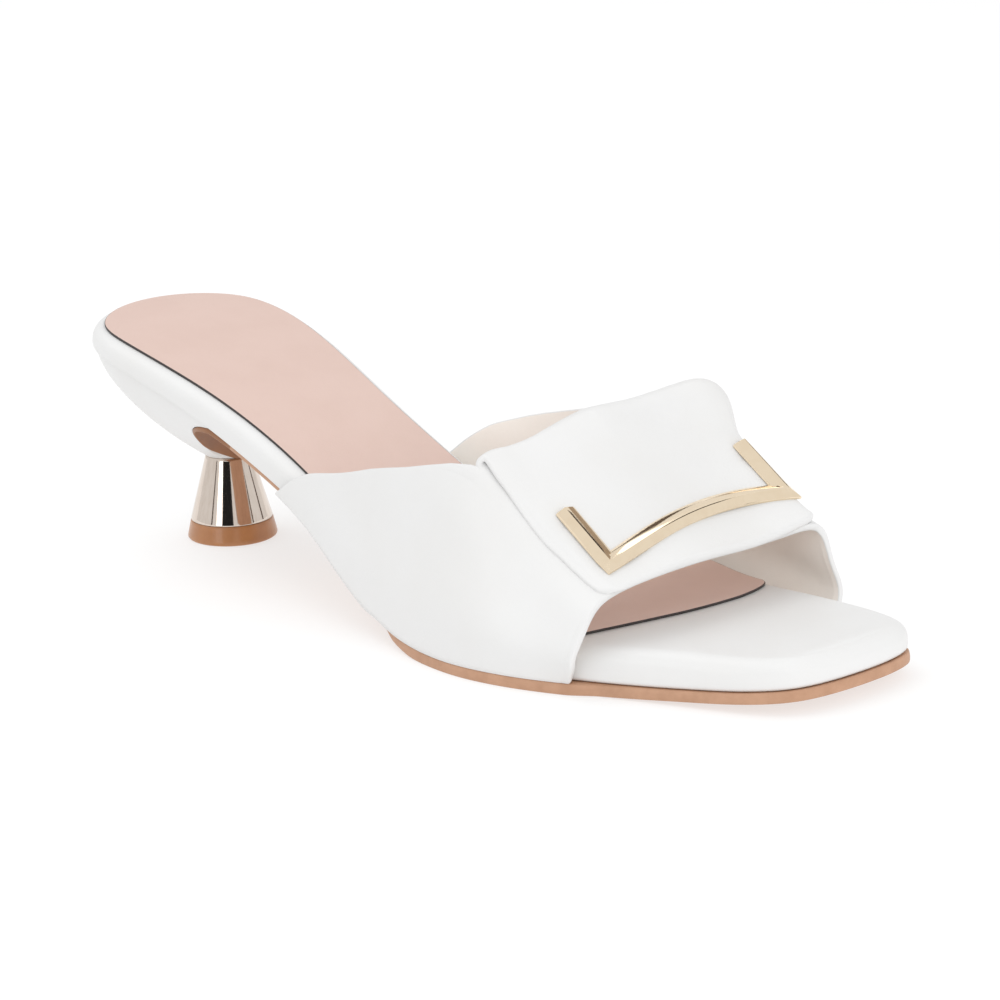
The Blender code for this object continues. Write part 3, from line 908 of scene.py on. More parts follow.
@dataclass(frozen=True)
class Fold:
    """Soft ridge or trough along a line on a sheet.

    The line's points are places in the sheet's own two directions.
    """

    line: tuple[tuple[float, float], ...]
    width: float
    height: float
    steps: int = 40
    fade: float = 0.6
    fade_end: float = 0.02

    def lift(self, points: np.ndarray, place: Callable[[np.ndarray, np.ndarray], np.ndarray]) -> np.ndarray:
        """Height that the fold adds at each point.

        Args:
            points: Points of the sheet.
            place: Turns the line's two directions into points.

        Returns:
            Signed heights in millimetres.
        """
        share = np.linspace(0.0, 1.0, self.steps)
        drawn = Spline(np.linspace(0.0, 1.0, len(self.line)), self.line)(share)
        path = place(drawn[:, 0], drawn[:, 1])
        gap = np.linalg.norm(points[..., None, :] - path, axis=-1)
        nearest = np.clip(share[gap.argmin(axis=-1)], self.fade_end, 1.0 - self.fade_end)
        fade = np.sin(math.pi * nearest) ** self.fade
        return self.height * fade * np.exp(-((gap.min(axis=-1) / self.width) ** 2))


@dataclass
class Last:
    """Outline and side profile that every piece of the shoe follows."""

    outline: tuple[Row, ...] = (
        (0.0, 0.0), (-16.7, 4.5), (-26.2, 14.0), (-29.4, 30.0), (-29.8, 60.0), (-31.4, 95.0),
        (-34.6, 125.0), (-39.0, 149.0), (-41.2, 166.0), (-38.6, 184.0), (-33.8, 198.0),
        (-28.6, 212.0), (-23.6, 226.0), (-19.0, 238.0), (-12.6, 246.0), (-3.0, 249.4),
        (8.0, 250.4), (18.6, 249.6), (26.2, 246.2), (29.9, 238.0), (31.4, 226.0), (31.9, 212.0),
        (32.6, 199.0), (35.6, 187.0), (38.9, 173.5), (37.4, 161.0), (31.5, 149.0), (24.0, 136.0),
        (19.2, 122.0), (17.5, 105.0), (18.3, 88.0), (20.9, 73.0), (24.4, 58.0), (27.7, 43.0),
        (29.2, 28.0), (26.2, 14.0), (16.7, 4.5),
    )
    toe_row: int = 16
    profile: tuple[Row, ...] = (
        (0.0, 59.6, 54.0), (20.0, 57.0, 51.0), (35.0, 54.1, 47.8), (65.0, 46.6, 39.2),
        (80.0, 41.8, 33.8), (95.0, 36.0, 28.0), (105.0, 31.4, 23.4), (115.0, 26.4, 17.4),
        (125.0, 21.5, 11.2), (135.0, 17.4, 6.1), (145.0, 14.6, 3.6), (155.0, 12.7, 2.9),
        (170.0, 11.2, 2.9), (185.0, 10.9, 2.9), (200.0, 11.6, 3.0), (225.0, 12.4, 4.1),
        (250.5, 12.9, 6.5),
    )
    crown: float = 0.5
    crown_width: float = 16.0
    overlap: int = 5
    samples: int = 1200

    def __post_init__(self) -> None:
        """Draw the curves."""
        points = np.array(self.outline)
        wrap = self.overlap
        ring = np.vstack([points[-wrap:], points, points[: wrap + 1]])
        reach = np.concatenate([[0.0], np.cumsum(np.linalg.norm(np.diff(ring, axis=0), axis=1))])
        curve = Spline(reach, ring)
        heel, toe, end = reach[wrap], reach[wrap + self.toe_row], reach[wrap + len(points)]
        self.outer = curve(np.linspace(heel, toe, self.samples))
        self.inner = curve(np.linspace(end, toe, self.samples))
        for side in (self.outer, self.inner):
            side[:, 1] = np.maximum.accumulate(side[:, 1])
        self.heights = smooth_columns(self.profile)
        self.length = float(self.outline[self.toe_row][1])

    def outer_x(self, s: Any) -> np.ndarray:
        """Edge on the outer side."""
        return np.interp(s, self.outer[:, 1], self.outer[:, 0])

    def inner_x(self, s: Any) -> np.ndarray:
        """Edge on the inner side."""
        return np.interp(s, self.inner[:, 1], self.inner[:, 0])

    def top(self, s: Any) -> np.ndarray:
        """Height of the footbed's top."""
        return self.heights(s)[..., 0]

    def under(self, s: Any) -> np.ndarray:
        """Height of the footbed's underside."""
        return self.heights(s)[..., 1]

    def middle(self, s: Any) -> np.ndarray:
        """Height half way up the footbed's edge."""
        return (self.under(s) + self.top(s)) / 2.0

    def dome(self, half: Any, q: Any) -> np.ndarray:
        """Share of the crown at place q across a row of that half width."""
        return (1.0 - q * q) * blend(0.0, self.crown_width, half)

    def ring(self, inset: float, rows: int) -> np.ndarray:
        """Closed ring of (x, s) points round the footbed, moved in from its edge.

        Args:
            inset: How far in, in millimetres.
            rows: Steps from heel to toe on each side.

        Returns:
            Ring of 2 * rows points, from the heel up the outer side.
        """
        s = end_spaced(0.0, self.length, rows + 1)
        outer = np.stack([self.outer_x(s), s], axis=1)
        inner = np.stack([self.inner_x(s), s], axis=1)[-2:0:-1]
        outer[0] = self.outline[0]
        outer[-1] = self.outline[self.toe_row]
        ring = np.vstack([outer, inner])
        tangent = unit(np.roll(ring, -1, axis=0) - np.roll(ring, 1, axis=0))
        inward = np.stack([tangent[:, 1], -tangent[:, 0]], axis=1)
        return ring + inward * inset


@dataclass
class Footbed:
    """Padded, leather-covered slab with a plump rounded edge, and the thin sock laid on it."""

    last: Last
    axes: ShoeAxes
    rows: int = 170
    columns: int = 26
    insock_columns: int = 45
    side_steps: int = 6
    top_steps: int = 11
    top_round: float = 3.7
    side_round: float = 1.3
    side_swell: float = 0.05
    insock_inset: float = 3.6
    insock_thickness: float = 0.65
    insock_front: float = 199.0
    front_line: tuple[Row, ...] = (
        (-1.0, 191.4), (-0.8, 193.7), (-0.56, 196.4), (-0.28, 199.2), (0.04, 201.8), (0.3, 202.9),
        (0.52, 203.2), (0.7, 202.5), (0.85, 201.2), (0.95, 199.6), (1.0, 197.4))
    front_power: float = 4.0
    front_inset: float = 2.4
    rest: float = 0.05
    insock_edge: float = 0.16
    insock_power: float = 0.5

    def slab_levels(self) -> list[tuple[float, Callable[[Any], np.ndarray], float]]:
        """Inset, height curve and rise of each ring from the underside to the top.

        Returns:
            One row for each ring.
        """
        last, side, top = self.last, self.side_round, self.top_round
        levels = []
        for angle in np.radians(np.linspace(90.0, 0.0, self.side_steps)):
            levels.append((side * (1.0 - math.cos(angle)), last.under, side * (1.0 - math.sin(angle))))
        levels.append((-self.side_swell, last.middle, (side - top) / 2.0))
        for angle in np.radians(np.linspace(0.0, 90.0, self.top_steps)):
            levels.append((top * (1.0 - math.cos(angle)), last.top, top * (math.sin(angle) - 1.0)))
        return levels

    def slab(self, wardrobe: Wardrobe) -> bpy.types.Object:
        """Build the slab.

        Args:
            wardrobe: The shoe's finishes.

        Returns:
            The finished piece.
        """
        last = self.last
        maker = MeshMaker(self.axes)
        rings = []
        for inset, height, rise in self.slab_levels():
            ring = last.ring(inset, self.rows)
            rings.append(maker.add(np.column_stack([ring, height(ring[:, 1]) + rise])))
        maker.band(rings)
        maker.cap(rings[0], lambda s, half, q: last.under(s), self.columns)
        maker.cap(rings[-1], lambda s, half, q: last.top(s) + last.crown * last.dome(half, q), self.columns)
        return fit_out(maker.build("footbed_slab"), "footbed", [wardrobe.white])

    def insock(self, wardrobe: Wardrobe) -> bpy.types.Object:
        """Build the sock, whose cut edge is inked.

        Args:
            wardrobe: The shoe's finishes.

        Returns:
            The finished piece.
        """
        last = self.last
        q = end_spaced(-1.0, 1.0, self.insock_columns)
        stations = end_spaced(self.insock_inset + self.rest, self.insock_front, self.rows)
        ring = last.ring(self.insock_inset, self.rows)
        outer = ring[: self.rows + 1]
        inner = np.vstack([ring[:1], ring[: self.rows - 1: -1]])
        weight = ((stations - stations[0]) / (stations[-1] - stations[0])) ** self.front_power
        bow = steady_column(self.front_line)(q) - self.insock_front
        reach = stations[:, None] + weight[:, None] * bow
        left = np.interp(reach[:, 0], outer[:, 1], outer[:, 0])[:, None]
        right = np.interp(reach[:, -1], inner[:, 1], inner[:, 0])[:, None]
        right = right + (self.insock_inset - self.front_inset) * weight[:, None]
        x = left + (right - left) * (q + 1.0) / 2.0
        height = last.top(reach) + last.crown * last.dome((right - left) / 2.0, q) + self.rest
        under = np.stack([x, reach, height], axis=-1)
        over = under + (0.0, 0.0, self.insock_thickness)
        maker = MeshMaker(self.axes)
        valid = np.ones(x.shape, bool)
        maker.sheet(over, under, valid, self.insock_edge, self.insock_power)
        finishes = [wardrobe.nude, wardrobe.ink, wardrobe.ink]
        return fit_out(maker.build("insock_sheet"), "insock", finishes)


@dataclass
class Heel:
    """Covered heel block, its metal cone and the top piece that it stands on."""

    last: Last
    axes: ShoeAxes
    centre: float = 35.0
    neck_radius: float = 6.1
    neck_height: float = 22.6
    foot_radius: float = 10.9
    foot_height: float = 5.4
    tread_radius: float = 11.9
    tread_bevel: float = 0.7
    inset: float = 1.0
    fullness: float = 1.62
    fullness_front: float = 0.15
    breast: tuple[float, float] = (-59.0, 55.0)
    breast_top: float = 45.0
    breast_turn: int = 4
    breast_reach: float = 32.5
    breast_power: float = 3.5
    breast_columns: int = 25
    side_columns: int = 161
    low_levels: tuple[float, ...] = (0.0, 0.01, 0.025)
    block_from: float = 0.05
    block_rows: int = 52
    block_angle: float = 42.0
    seat_steps: int = 120
    rest: float = -0.1
    cone_bevel: float = 0.22
    cone_sunk: float = 0.22
    cone_gap: float = 0.06
    cone_ease: float = 0.3
    cone_shares: tuple[float, float] = (0.05, 0.95)
    cone_rows: int = 12
    tread_gap: float = 0.3
    tread_turns: tuple[float, ...] = (22.0, 45.0, 68.0, 90.0)
    tread_shares: tuple[float, float] = (0.15, 0.95)
    tread_rows: int = 8
    tread_rim: tuple[tuple[float, float], ...] = ((0.05, 0.05), (0.25, 0.0))
    turned_segments: int = 144
    turned_angle: float = 50.0
    folds: tuple[Fold, ...] = (
        Fold(((-75.0, 0.80), (-95.0, 0.52), (-105.0, 0.20)), 2.6, 0.22),
        Fold(((-130.0, 0.86), (-136.0, 0.50), (-138.0, 0.12)), 3.0, 0.20),
        Fold(((70.0, 0.82), (92.0, 0.50), (104.0, 0.18)), 2.6, 0.22),
        Fold(((128.0, 0.84), (136.0, 0.48), (140.0, 0.12)), 3.0, 0.20),
    )

    def seat_reach(self, angle: np.ndarray) -> np.ndarray:
        """Distance from the heel's axis to the block's upper edge, at angles from the toe.

        Args:
            angle: Angles from the toe.

        Returns:
            One distance for each angle.
        """
        offset = self.last.ring(self.inset, self.seat_steps) - np.array((0.0, self.centre))
        around = np.arctan2(offset[:, 0], offset[:, 1])
        order = np.argsort(around)
        distance = np.linalg.norm(offset[order], axis=1)
        return np.interp(angle, around[order], distance, period=2.0 * math.pi)

    def height(self, s: Any, level: Any) -> np.ndarray:
        """Height at a level from 0, the neck, to 1, the seat."""
        return self.neck_height + (self.last.under(s) - self.rest - self.neck_height) * level

    def side(self, angle: np.ndarray, level: Any) -> np.ndarray:
        """Points on the bowl-shaped side.

        Args:
            angle: Angles from the toe.
            level: Level from 0, the neck, to 1, the seat.

        Returns:
            Points x, s, z.
        """
        swell = 1.0 - (1.0 - level) ** (self.fullness + self.fullness_front * np.cos(angle))
        radius = self.neck_radius + (self.seat_reach(angle) - self.neck_radius) * swell
        s = self.centre + radius * np.cos(angle)
        return np.stack([radius * np.sin(angle), s, self.height(s, level)], axis=-1)

    def breast_angles(self, level: float) -> np.ndarray:
        """Angles from the toe at which the two sides meet the front face.

        Args:
            level: Level from 0, the neck, to 1, the seat.

        Returns:
            Angle of the outer side and of the inner one.
        """
        low = np.array(self.breast)
        high = np.sign(low) * self.breast_top
        return np.radians(low + (high - low) * level**self.breast_turn)

    def breast_row(self, level: float, count: int, inset: float = 0.0) -> np.ndarray:
        """Points across the heel's hollow front face, outer side first.

        Args:
            level: Level from 0, the neck, to 1, the seat.
            count: Number of points.
            inset: How far the row stops short of the sides.

        Returns:
            Rows of x, s, z.
        """
        outer, inner = self.side(self.breast_angles(level), level)
        middle = self.centre + self.neck_radius
        middle += (self.breast_reach - self.neck_radius) * level**self.breast_power
        q = np.linspace(-1.0, 1.0, count)
        shrink = 1.0 - inset / inner[0]
        x = np.where(q < 0.0, -q * outer[0], q * inner[0]) * shrink
        edge = np.where(q < 0.0, outer[1], inner[1])
        s = middle + (edge - middle) * (q * shrink) ** 2
        return np.stack([x, s, self.height(s, level)], axis=1)

    def block(self, wardrobe: Wardrobe) -> bpy.types.Object:
        """Build the covered block.

        Args:
            wardrobe: The shoe's finishes.

        Returns:
            The finished piece.
        """
        levels = np.concatenate([self.low_levels, np.linspace(self.block_from, 1.0, self.block_rows)])
        maker = MeshMaker(self.axes)
        sides, faces = [], []
        for level in levels:
            first, last = self.breast_angles(level)[::-1]
            sides.append(self.side(np.linspace(first, 2.0 * math.pi + last, self.side_columns), level))
            faces.append(self.breast_row(level, self.breast_columns)[1:-1])
        sides = np.array(sides)
        normals = grid_normals(sides)
        outward = sides - np.array((0.0, self.centre, 0.0))
        normals *= np.sign((normals * outward * (1.0, 1.0, 0.0)).sum(axis=-1, keepdims=True))
        for fold in self.folds:
            lift = fold.lift(sides, lambda angle, level: self.side(np.radians(angle), level))
            sides = sides + normals * lift[..., None]
        rings = [maker.add(np.vstack([face, side])) for face, side in zip(faces, sides)]
        maker.band(rings)
        maker.face(rings[0])
        front = self.breast_columns - 2
        self.seat(maker, rings[-1][:front], rings[-1][front:])
        made = maker.build("heel_block_cover", self.block_angle)
        return fit_out(made, "heel_block", [wardrobe.white])

    def seat(self, maker: MeshMaker, face: np.ndarray, side: np.ndarray) -> None:
        """Close the block's top with rows across it.

        Args:
            maker: Collector of the block's faces.
            face: Vertex numbers across the front face.
            side: Vertex numbers round the side.
        """
        middle = len(side) // 2
        pairs = [(side[-1 - k], side[k]) for k in range(1, middle)]
        rows = maker.rows_across(pairs, len(face) + 1, lambda s, half, q: self.height(s, 1.0))
        rows.insert(0, [side[-1], *face, side[0]])
        for first, second in zip(rows, rows[1:]):
            maker.strip(first, second)
        maker.fan(side[middle], rows[-1])

    def turned(self, name: str, profile: Sequence[tuple[float, float]]) -> bpy.types.Object:
        """Closed form of revolution about the heel's axis.

        Args:
            name: Plain name of the piece.
            profile: Rows of radius and height.

        Returns:
            The new object.
        """
        maker = MeshMaker(self.axes)
        angle = np.linspace(0.0, 2.0 * math.pi, self.turned_segments, endpoint=False)
        rings = []
        for radius, height in profile:
            s = self.centre + radius * np.cos(angle)
            rings.append(maker.add(np.stack([radius * np.sin(angle), s, np.full(len(s), height)], axis=1)))
        maker.band(rings)
        maker.face(rings[0])
        maker.face(rings[-1])
        return maker.build(name, self.turned_angle)

    def cone(self, wardrobe: Wardrobe) -> bpy.types.Object:
        """Build the metal cone, with both rims eased.

        Args:
            wardrobe: The shoe's finishes.

        Returns:
            The finished piece.
        """
        bevel, eased = self.cone_bevel, self.cone_bevel * self.cone_ease
        low, high = self.foot_height - self.cone_sunk, self.neck_height - self.cone_gap
        lean = (self.foot_radius - self.neck_radius) / (high - low)
        profile = [
            (self.foot_radius - bevel, low),
            (self.foot_radius - eased, low + eased),
            (self.foot_radius - bevel * lean, low + bevel),
        ]
        for share in np.linspace(*self.cone_shares, self.cone_rows):
            profile.append((self.foot_radius - lean * (high - low) * share, low + (high - low) * share))
        profile += [
            (self.neck_radius + bevel * lean, high - bevel),
            (self.neck_radius - eased, high - eased),
            (self.neck_radius - bevel, high),
        ]
        made = self.turned("heel_cone_shell", profile)
        return fit_out(made, "heel_cone", [wardrobe.rose])

    def tread(self, wardrobe: Wardrobe) -> bpy.types.Object:
        """Build the top piece, with a worn lower rim.

        Args:
            wardrobe: The shoe's finishes.

        Returns:
            The finished piece.
        """
        top = self.foot_height - self.tread_gap
        profile = [(self.tread_radius - self.tread_bevel, 0.0)]
        for angle in np.radians(self.tread_turns):
            reach = self.tread_radius - self.tread_bevel * (1.0 - math.sin(angle))
            profile.append((reach, self.tread_bevel * (1.0 - math.cos(angle))))
        for share in np.linspace(*self.tread_shares, self.tread_rows):
            radius = self.tread_radius + (self.foot_radius - self.tread_radius) * share
            profile.append((radius, self.tread_bevel + (top - self.tread_bevel) * share))
        profile += [(self.foot_radius - inward, top - down) for inward, down in self.tread_rim]
        made = self.turned("top_piece_disc", profile)
        return fit_out(made, "top_piece", [wardrobe.top_piece])


@dataclass
class Outsole:
    """Thin sole from the toe to the heel, turned down over the heel's front face."""

    last: Last
    heel: Heel
    axes: ShoeAxes
    table: tuple[Row, ...] = (
        (60.0, -1.3, -1.3, 1.4), (120.0, -1.2, -1.2, 1.6), (136.0, -0.2, -0.2, 2.1),
        (142.0, 1.3, 1.3, 2.4), (152.0, 2.1, 2.1, 2.8), (196.0, 2.1, 2.1, 2.8),
        (204.0, 0.5, 2.1, 2.8), (213.0, 0.4, 2.1, 2.7), (222.0, 0.4, 0.4, 2.6),
        (251.0, 0.4, 0.4, 2.6),
    )
    bend: float = 71.5
    cover_inset: float = 0.25
    cover_tip: float = 0.34
    cover_narrow: float = 0.92
    cover_thickness: float = 0.7
    edge: float = 0.35
    rest: float = 0.1
    columns: int = 27
    rows: int = 150
    waist_rows: int = 90
    waist_step: float = 1.2
    cover_rows: int = 44
    cover_levels: tuple[float, float] = (0.985, 0.02)
    cover_blend: tuple[float, float] = (1.0, 0.6)
    breast_from: float = 15.0
    toe_in: float = 0.02
    rim_power: float = 0.6
    smooth_angle: float = 50.0

    def build(self, wardrobe: Wardrobe) -> bpy.types.Object:
        """Build the sole in one sheet.

        Args:
            wardrobe: The shoe's finishes.

        Returns:
            The finished piece.
        """
        last = self.last
        outer_out, inner_out, thick = (steady_column(self.table, k) for k in (1, 2, 3))
        stations = end_spaced(last.length - self.toe_in, self.bend, 2 * self.rows)[: self.rows]
        waist = np.linspace(stations[-1] - self.waist_step, self.bend, self.waist_rows)
        stations = np.concatenate([stations, waist])
        left = last.outer_x(stations) - outer_out(stations) + self.edge
        right = last.inner_x(stations) + inner_out(stations) - self.edge
        share = np.linspace(0.0, 1.0, self.columns)
        x = left[:, None] + (right - left)[:, None] * share
        s = np.repeat(stations[:, None], self.columns, axis=1)
        floor = np.stack([x, s, last.under(s) - self.rest], axis=-1)
        thickness = list(thick(stations))
        rows = list(floor)
        for level in np.linspace(*self.cover_levels, self.cover_rows):
            rows.append(self.cover_row(level))
            share = float(blend(*self.cover_blend, level))
            thickness.append(float(thick(self.bend)) * (1.0 - share) + self.cover_thickness * share)
        inside = np.array(rows)
        normals = grid_normals(inside)
        if normals[0, 0, 2] > 0.0:
            normals = -normals
        outside = inside + normals * np.array(thickness)[:, None, None]
        outside[..., 2] = np.maximum(outside[..., 2], 0.0)
        maker = MeshMaker(self.axes)
        valid = np.ones(outside.shape[:2], bool)
        maker.sheet(outside, inside, valid, self.edge, self.rim_power)
        made = maker.build("outsole_sheet", self.smooth_angle)
        for face in made.data.polygons:
            ahead = self.axes.back_y - face.center.y / MM
            on_breast = ahead < self.bend - 1.0 and face.center.z / MM > self.breast_from
            face.material_index = int(on_breast)
        return fit_out(made, "outsole", [wardrobe.sole, wardrobe.breast])

    def cover_row(self, level: float) -> np.ndarray:
        """Row across the heel's front face, drawn in to a round tip at the neck.

        Args:
            level: Level from 0, the neck, to 1, the seat.

        Returns:
            Points x, s, z.
        """
        half = float(self.heel.side(self.heel.breast_angles(level), level)[1, 0])
        below = max(0.0, 1.0 - level / self.cover_tip)
        drawn = self.cover_narrow * (1.0 - math.sqrt(1.0 - below**2))
        inset = self.cover_inset + (half - self.cover_inset) * drawn
        return self.heel.breast_row(level, self.columns, inset) + (0.0, self.rest, -self.rest)


@dataclass
class Upper:
    """Strap over the foot and the flap folded forward from its back edge, in one sheet.

    Places round the strap run from -1, the outer side's lower edge, to 1, the inner side's.
    """

    last: Last
    axes: ShoeAxes
    sections: tuple[Row, ...] = (
        (88.0, -33.2, -33.0, -31.5, 49.0, 58.0, 29.0, 49.0, 24.6, 20.8),
        (110.0, -34.9, -34.0, -31.8, 49.0, 57.0, 32.0, 49.0, 25.6, 21.6),
        (130.0, -37.6, -35.6, -32.2, 49.2, 56.0, 36.2, 49.0, 31.6, 26.8),
        (150.0, -41.6, -37.8, -32.0, 49.4, 53.6, 38.8, 49.6, 38.2, 36.6),
        (165.0, -44.0, -39.2, -31.0, 48.2, 50.2, 41.0, 48.8, 42.4, 42.8),
        (175.0, -43.8, -39.4, -30.4, 41.4, 46.0, 40.8, 45.4, 43.0, 43.8),
        (185.0, -42.0, -38.0, -30.8, 31.8, 38.4, 40.4, 37.8, 43.0, 43.4),
        (195.0, -40.0, -37.2, -31.0, 25.8, 30.6, 40.0, 31.6, 42.2, 42.4),
        (205.0, -39.4, -37.4, -30.8, 22.6, 26.0, 39.2, 26.8, 41.4, 41.4),
        (215.0, -38.4, -36.8, -30.5, 21.2, 24.0, 38.2, 25.0, 40.6, 39.4),
    )
    knots: tuple[float, ...] = (-1.0, -0.87, -0.69, -0.5, -0.35, 0.0, 0.35, 0.5, 0.69, 0.87, 1.0)
    low_share: float = 0.27
    middle_share: float = 0.63
    flank: float = 0.7
    flank_drop: float = 0.35
    top_x: float = 3.0
    edge_out: tuple[Row, ...] = ((88.0, 1.4), (108.0, 1.6), (130.0, 2.1), (216.0, 2.1))
    drop: tuple[Row, ...] = (
        (88.0, 0.2), (104.0, 1.0), (118.0, 1.9), (128.0, 1.5), (136.0, 0.0), (216.0, 0.0))
    back_outer: tuple[Row, ...] = ((105.5, 35.5), (128.5, 41.0), (148.5, 45.5), (160.0, 47.8))
    back_inner: tuple[Row, ...] = (
        (110.0, 36.4), (118.5, 39.2), (130.5, 42.0), (150.0, 45.6), (159.0, 47.6))
    back_sole: tuple[float, float] = (92.5, 97.0)
    back_top: tuple[float, float, float] = (166.0, 167.0, 166.0)
    front_edge: tuple[Row, ...] = (
        (-1.0, 198.2), (-0.87, 202.2), (-0.69, 203.2), (-0.5, 203.8), (0.0, 204.6), (0.25, 205.2),
        (0.5, 208.2), (0.69, 211.2), (0.87, 215.2), (1.0, 217.0))
    strap_thickness: float = 1.8
    wall_thin: float = 1.3
    wall_places: tuple[float, float] = (0.52, 0.7)
    flap_thickness: float = 2.2
    flap_thin: float = 1.5
    thin_places: tuple[float, float] = (0.15, 0.45)
    half_span: float = 0.5
    loop_heights: tuple[Row, ...] = (
        (-0.5, 0.6), (-0.4, 0.4), (-0.25, 1.3), (-0.1, 2.8), (0.0, 3.7), (0.3, 3.7), (0.4, 3.1), (0.5, 3.6))
    loop_reach: float = 3.2
    loop_length: float = 15.0
    loop_lean: float = 0.3
    flare: tuple[float, float] = (1.9, 1.9)
    flare_from: float = 0.36
    flare_length: float = 15.0
    draw_in: tuple[Row, ...] = (
        (0.0, 0.022), (5.0, 0.008), (10.0, 0.010), (14.0, 0.016), (19.0, 0.027), (25.0, 0.040),
        (29.0, 0.040), (33.0, 0.036), (40.0, 0.034))
    draw_in_from: float = 0.15
    flap_front: tuple[Row, ...] = ((-0.5, 205.6), (0.0, 207.4), (0.5, 207.8))
    corner: float = 0.08
    corner_back: float = 4.0
    rest: float = 0.12
    edge_sink: float = 0.85
    sink_width: float = 0.03
    skive: tuple[float, float] = (0.75, 0.95)
    rim: float = 0.5
    flap_rim: float = 0.8
    rim_power: float = 0.55
    sole_rim: float = 0.08
    smooth_angle: float = 75.0
    searched: tuple[float, float, int] = (1.0, 0.4, 241)
    spanned: tuple[float, float, int] = (-0.6, 0.6, 121)
    wall_columns: int = 30
    corner_columns: int = 13
    top_columns: int = 40
    strap_rows: int = 64
    loop_rows: int = 15
    flap_rows: int = 66
    strap_folds: tuple[Fold, ...] = (
        Fold(((-0.80, 122.0), (-0.76, 140.0), (-0.80, 160.0)), 5.0, -0.35),
        Fold(((-0.62, 150.0), (-0.66, 170.0), (-0.74, 188.0)), 4.5, 0.30),
        Fold(((0.84, 122.0), (0.80, 140.0), (0.83, 158.0)), 5.0, -0.35),
        Fold(((0.64, 152.0), (0.68, 172.0), (0.78, 190.0)), 4.5, 0.30),
    )
    flap_folds: tuple[Fold, ...] = (
        Fold(((-0.42, 0.26), (-0.37, 0.40), (-0.40, 0.54)), 5.0, -0.30),
        Fold(((0.20, 0.22), (0.30, 0.40), (0.33, 0.60)), 6.0, -0.35),
        Fold(((-0.37, 0.57), (-0.37, 0.70), (-0.37, 0.83)), 6.0, 0.75),
        Fold(((0.445, 0.58), (0.446, 0.67), (0.449, 0.78)), 5.0, 0.45),
    )
    groove_at: float = 1.9
    groove_width: float = 0.4
    groove_depth: float = 0.16
    groove_places: tuple[float, float] = (0.5, 0.7)

    def __post_init__(self) -> None:
        """Draw the curves."""
        self.table = smooth_columns(self.sections)
        self.drops = steady_column(self.drop)
        self.stand_out = steady_column(self.edge_out)
        self.places_at = np.array(self.knots)
        self.solver = Spline.solver(self.places_at)
        self.back = self.back_curve()
        self.front = steady_column(self.front_edge)
        self.flap_edge = steady_column(self.flap_front)
        self.drawn = steady_column(self.draw_in)

    def section(self, s: np.ndarray) -> np.ndarray:
        """Knots of the section at s: x and z of eleven points.

        Args:
            s: Stations along the foot.

        Returns:
            Eleven pairs of x and z for each station.
        """
        low_o, mid_o, top_o, high_o, top, top_i, high_i, mid_i, low_i = np.moveaxis(self.table(s), -1, 0)
        base = self.last.under(s) - self.drops(s)
        rows = [(self.last.outer_x(s) - self.stand_out(s), base)]
        rows.append((low_o, base + self.low_share * (high_o - base)))
        rows.append((mid_o, base + self.middle_share * (high_o - base)))
        rows.append((top_o, high_o))
        rows.append((self.top_x + self.flank * (top_o - self.top_x), top + self.flank_drop * (high_o - top)))
        rows.append((np.full_like(top, self.top_x), top))
        rows.append((self.top_x + self.flank * (top_i - self.top_x), top + self.flank_drop * (high_i - top)))
        rows.append((top_i, high_i))
        rows.append((mid_i, base + self.middle_share * (high_i - base)))
        rows.append((low_i, base + self.low_share * (high_i - base)))
        rows.append((self.last.inner_x(s) + self.stand_out(s), base))
        return np.stack([np.stack(row, axis=-1) for row in rows], axis=-2)

    def point(self, q: Any, s: Any) -> np.ndarray:
        """Points on the strap's outer face.

        Args:
            q: Places round the strap.
            s: Stations along the foot.

        Returns:
            Points x, s, z.
        """
        q, s = np.broadcast_arrays(np.asarray(q, float), np.asarray(s, float))
        values = self.section(s)
        bends = np.einsum("ij,...jk->...ik", self.solver, values)
        i, back, front, low, high = Spline.weights(self.places_at, q)
        spot = i[..., None, None]

        def pick(rows: np.ndarray, step: int) -> np.ndarray:
            """Rows at each point's own interval."""
            return np.take_along_axis(rows, spot + step, axis=-2)[..., 0, :]

        flat = back[..., None] * pick(values, 0) + front[..., None] * pick(values, 1)
        bent = low[..., None] * pick(bends, 0) + high[..., None] * pick(bends, 1)
        across = flat + bent
        return np.stack([across[..., 0], s, across[..., 1]], axis=-1)

    def frame(self, q: Any, s: Any, step: float = 0.01) -> tuple[np.ndarray, np.ndarray, np.ndarray]:
        """Points on the outer face, with their outward normals and forward directions.

        Args:
            q: Places round the strap.
            s: Stations along the foot.
            step: Step in q over which the slope is taken.

        Returns:
            Points, normals and forward directions.
        """
        q, s = np.broadcast_arrays(np.asarray(q, float), np.asarray(s, float))
        forward = unit(self.point(q, s + 0.5) - self.point(q, s - 0.5))
        across = self.point(np.minimum(q + step, 1.0), s) - self.point(np.maximum(q - step, -1.0), s)
        return self.point(q, s), unit(np.cross(across, forward)), forward

    def place_at(self, s: float, height: float, side: float) -> float:
        """Place at which the strap's wall reaches a height.

        Args:
            s: Station along the foot.
            height: Height to reach.
            side: Minus for the outer wall, plus for the inner one.

        Returns:
            Place round the strap.
        """
        q = np.linspace(*self.searched) * side
        z = self.point(q, np.full(q.shape, s))[:, 2]
        return float(q[np.argmax(z >= height)])

    def back_curve(self) -> Steady:
        """Back edge: s over the place round the section.

        Returns:
            Curve of s over the place.
        """
        rows = [(-1.0, self.back_sole[0])]
        rows += [(self.place_at(s, z, -1.0), s) for s, z in self.back_outer]
        rows += list(zip((-self.half_span, 0.0, self.half_span), self.back_top))
        rows += [(self.place_at(s, z, 1.0), s) for s, z in reversed(self.back_inner)]
        rows.append((1.0, self.back_sole[1]))
        return steady_column(rows)

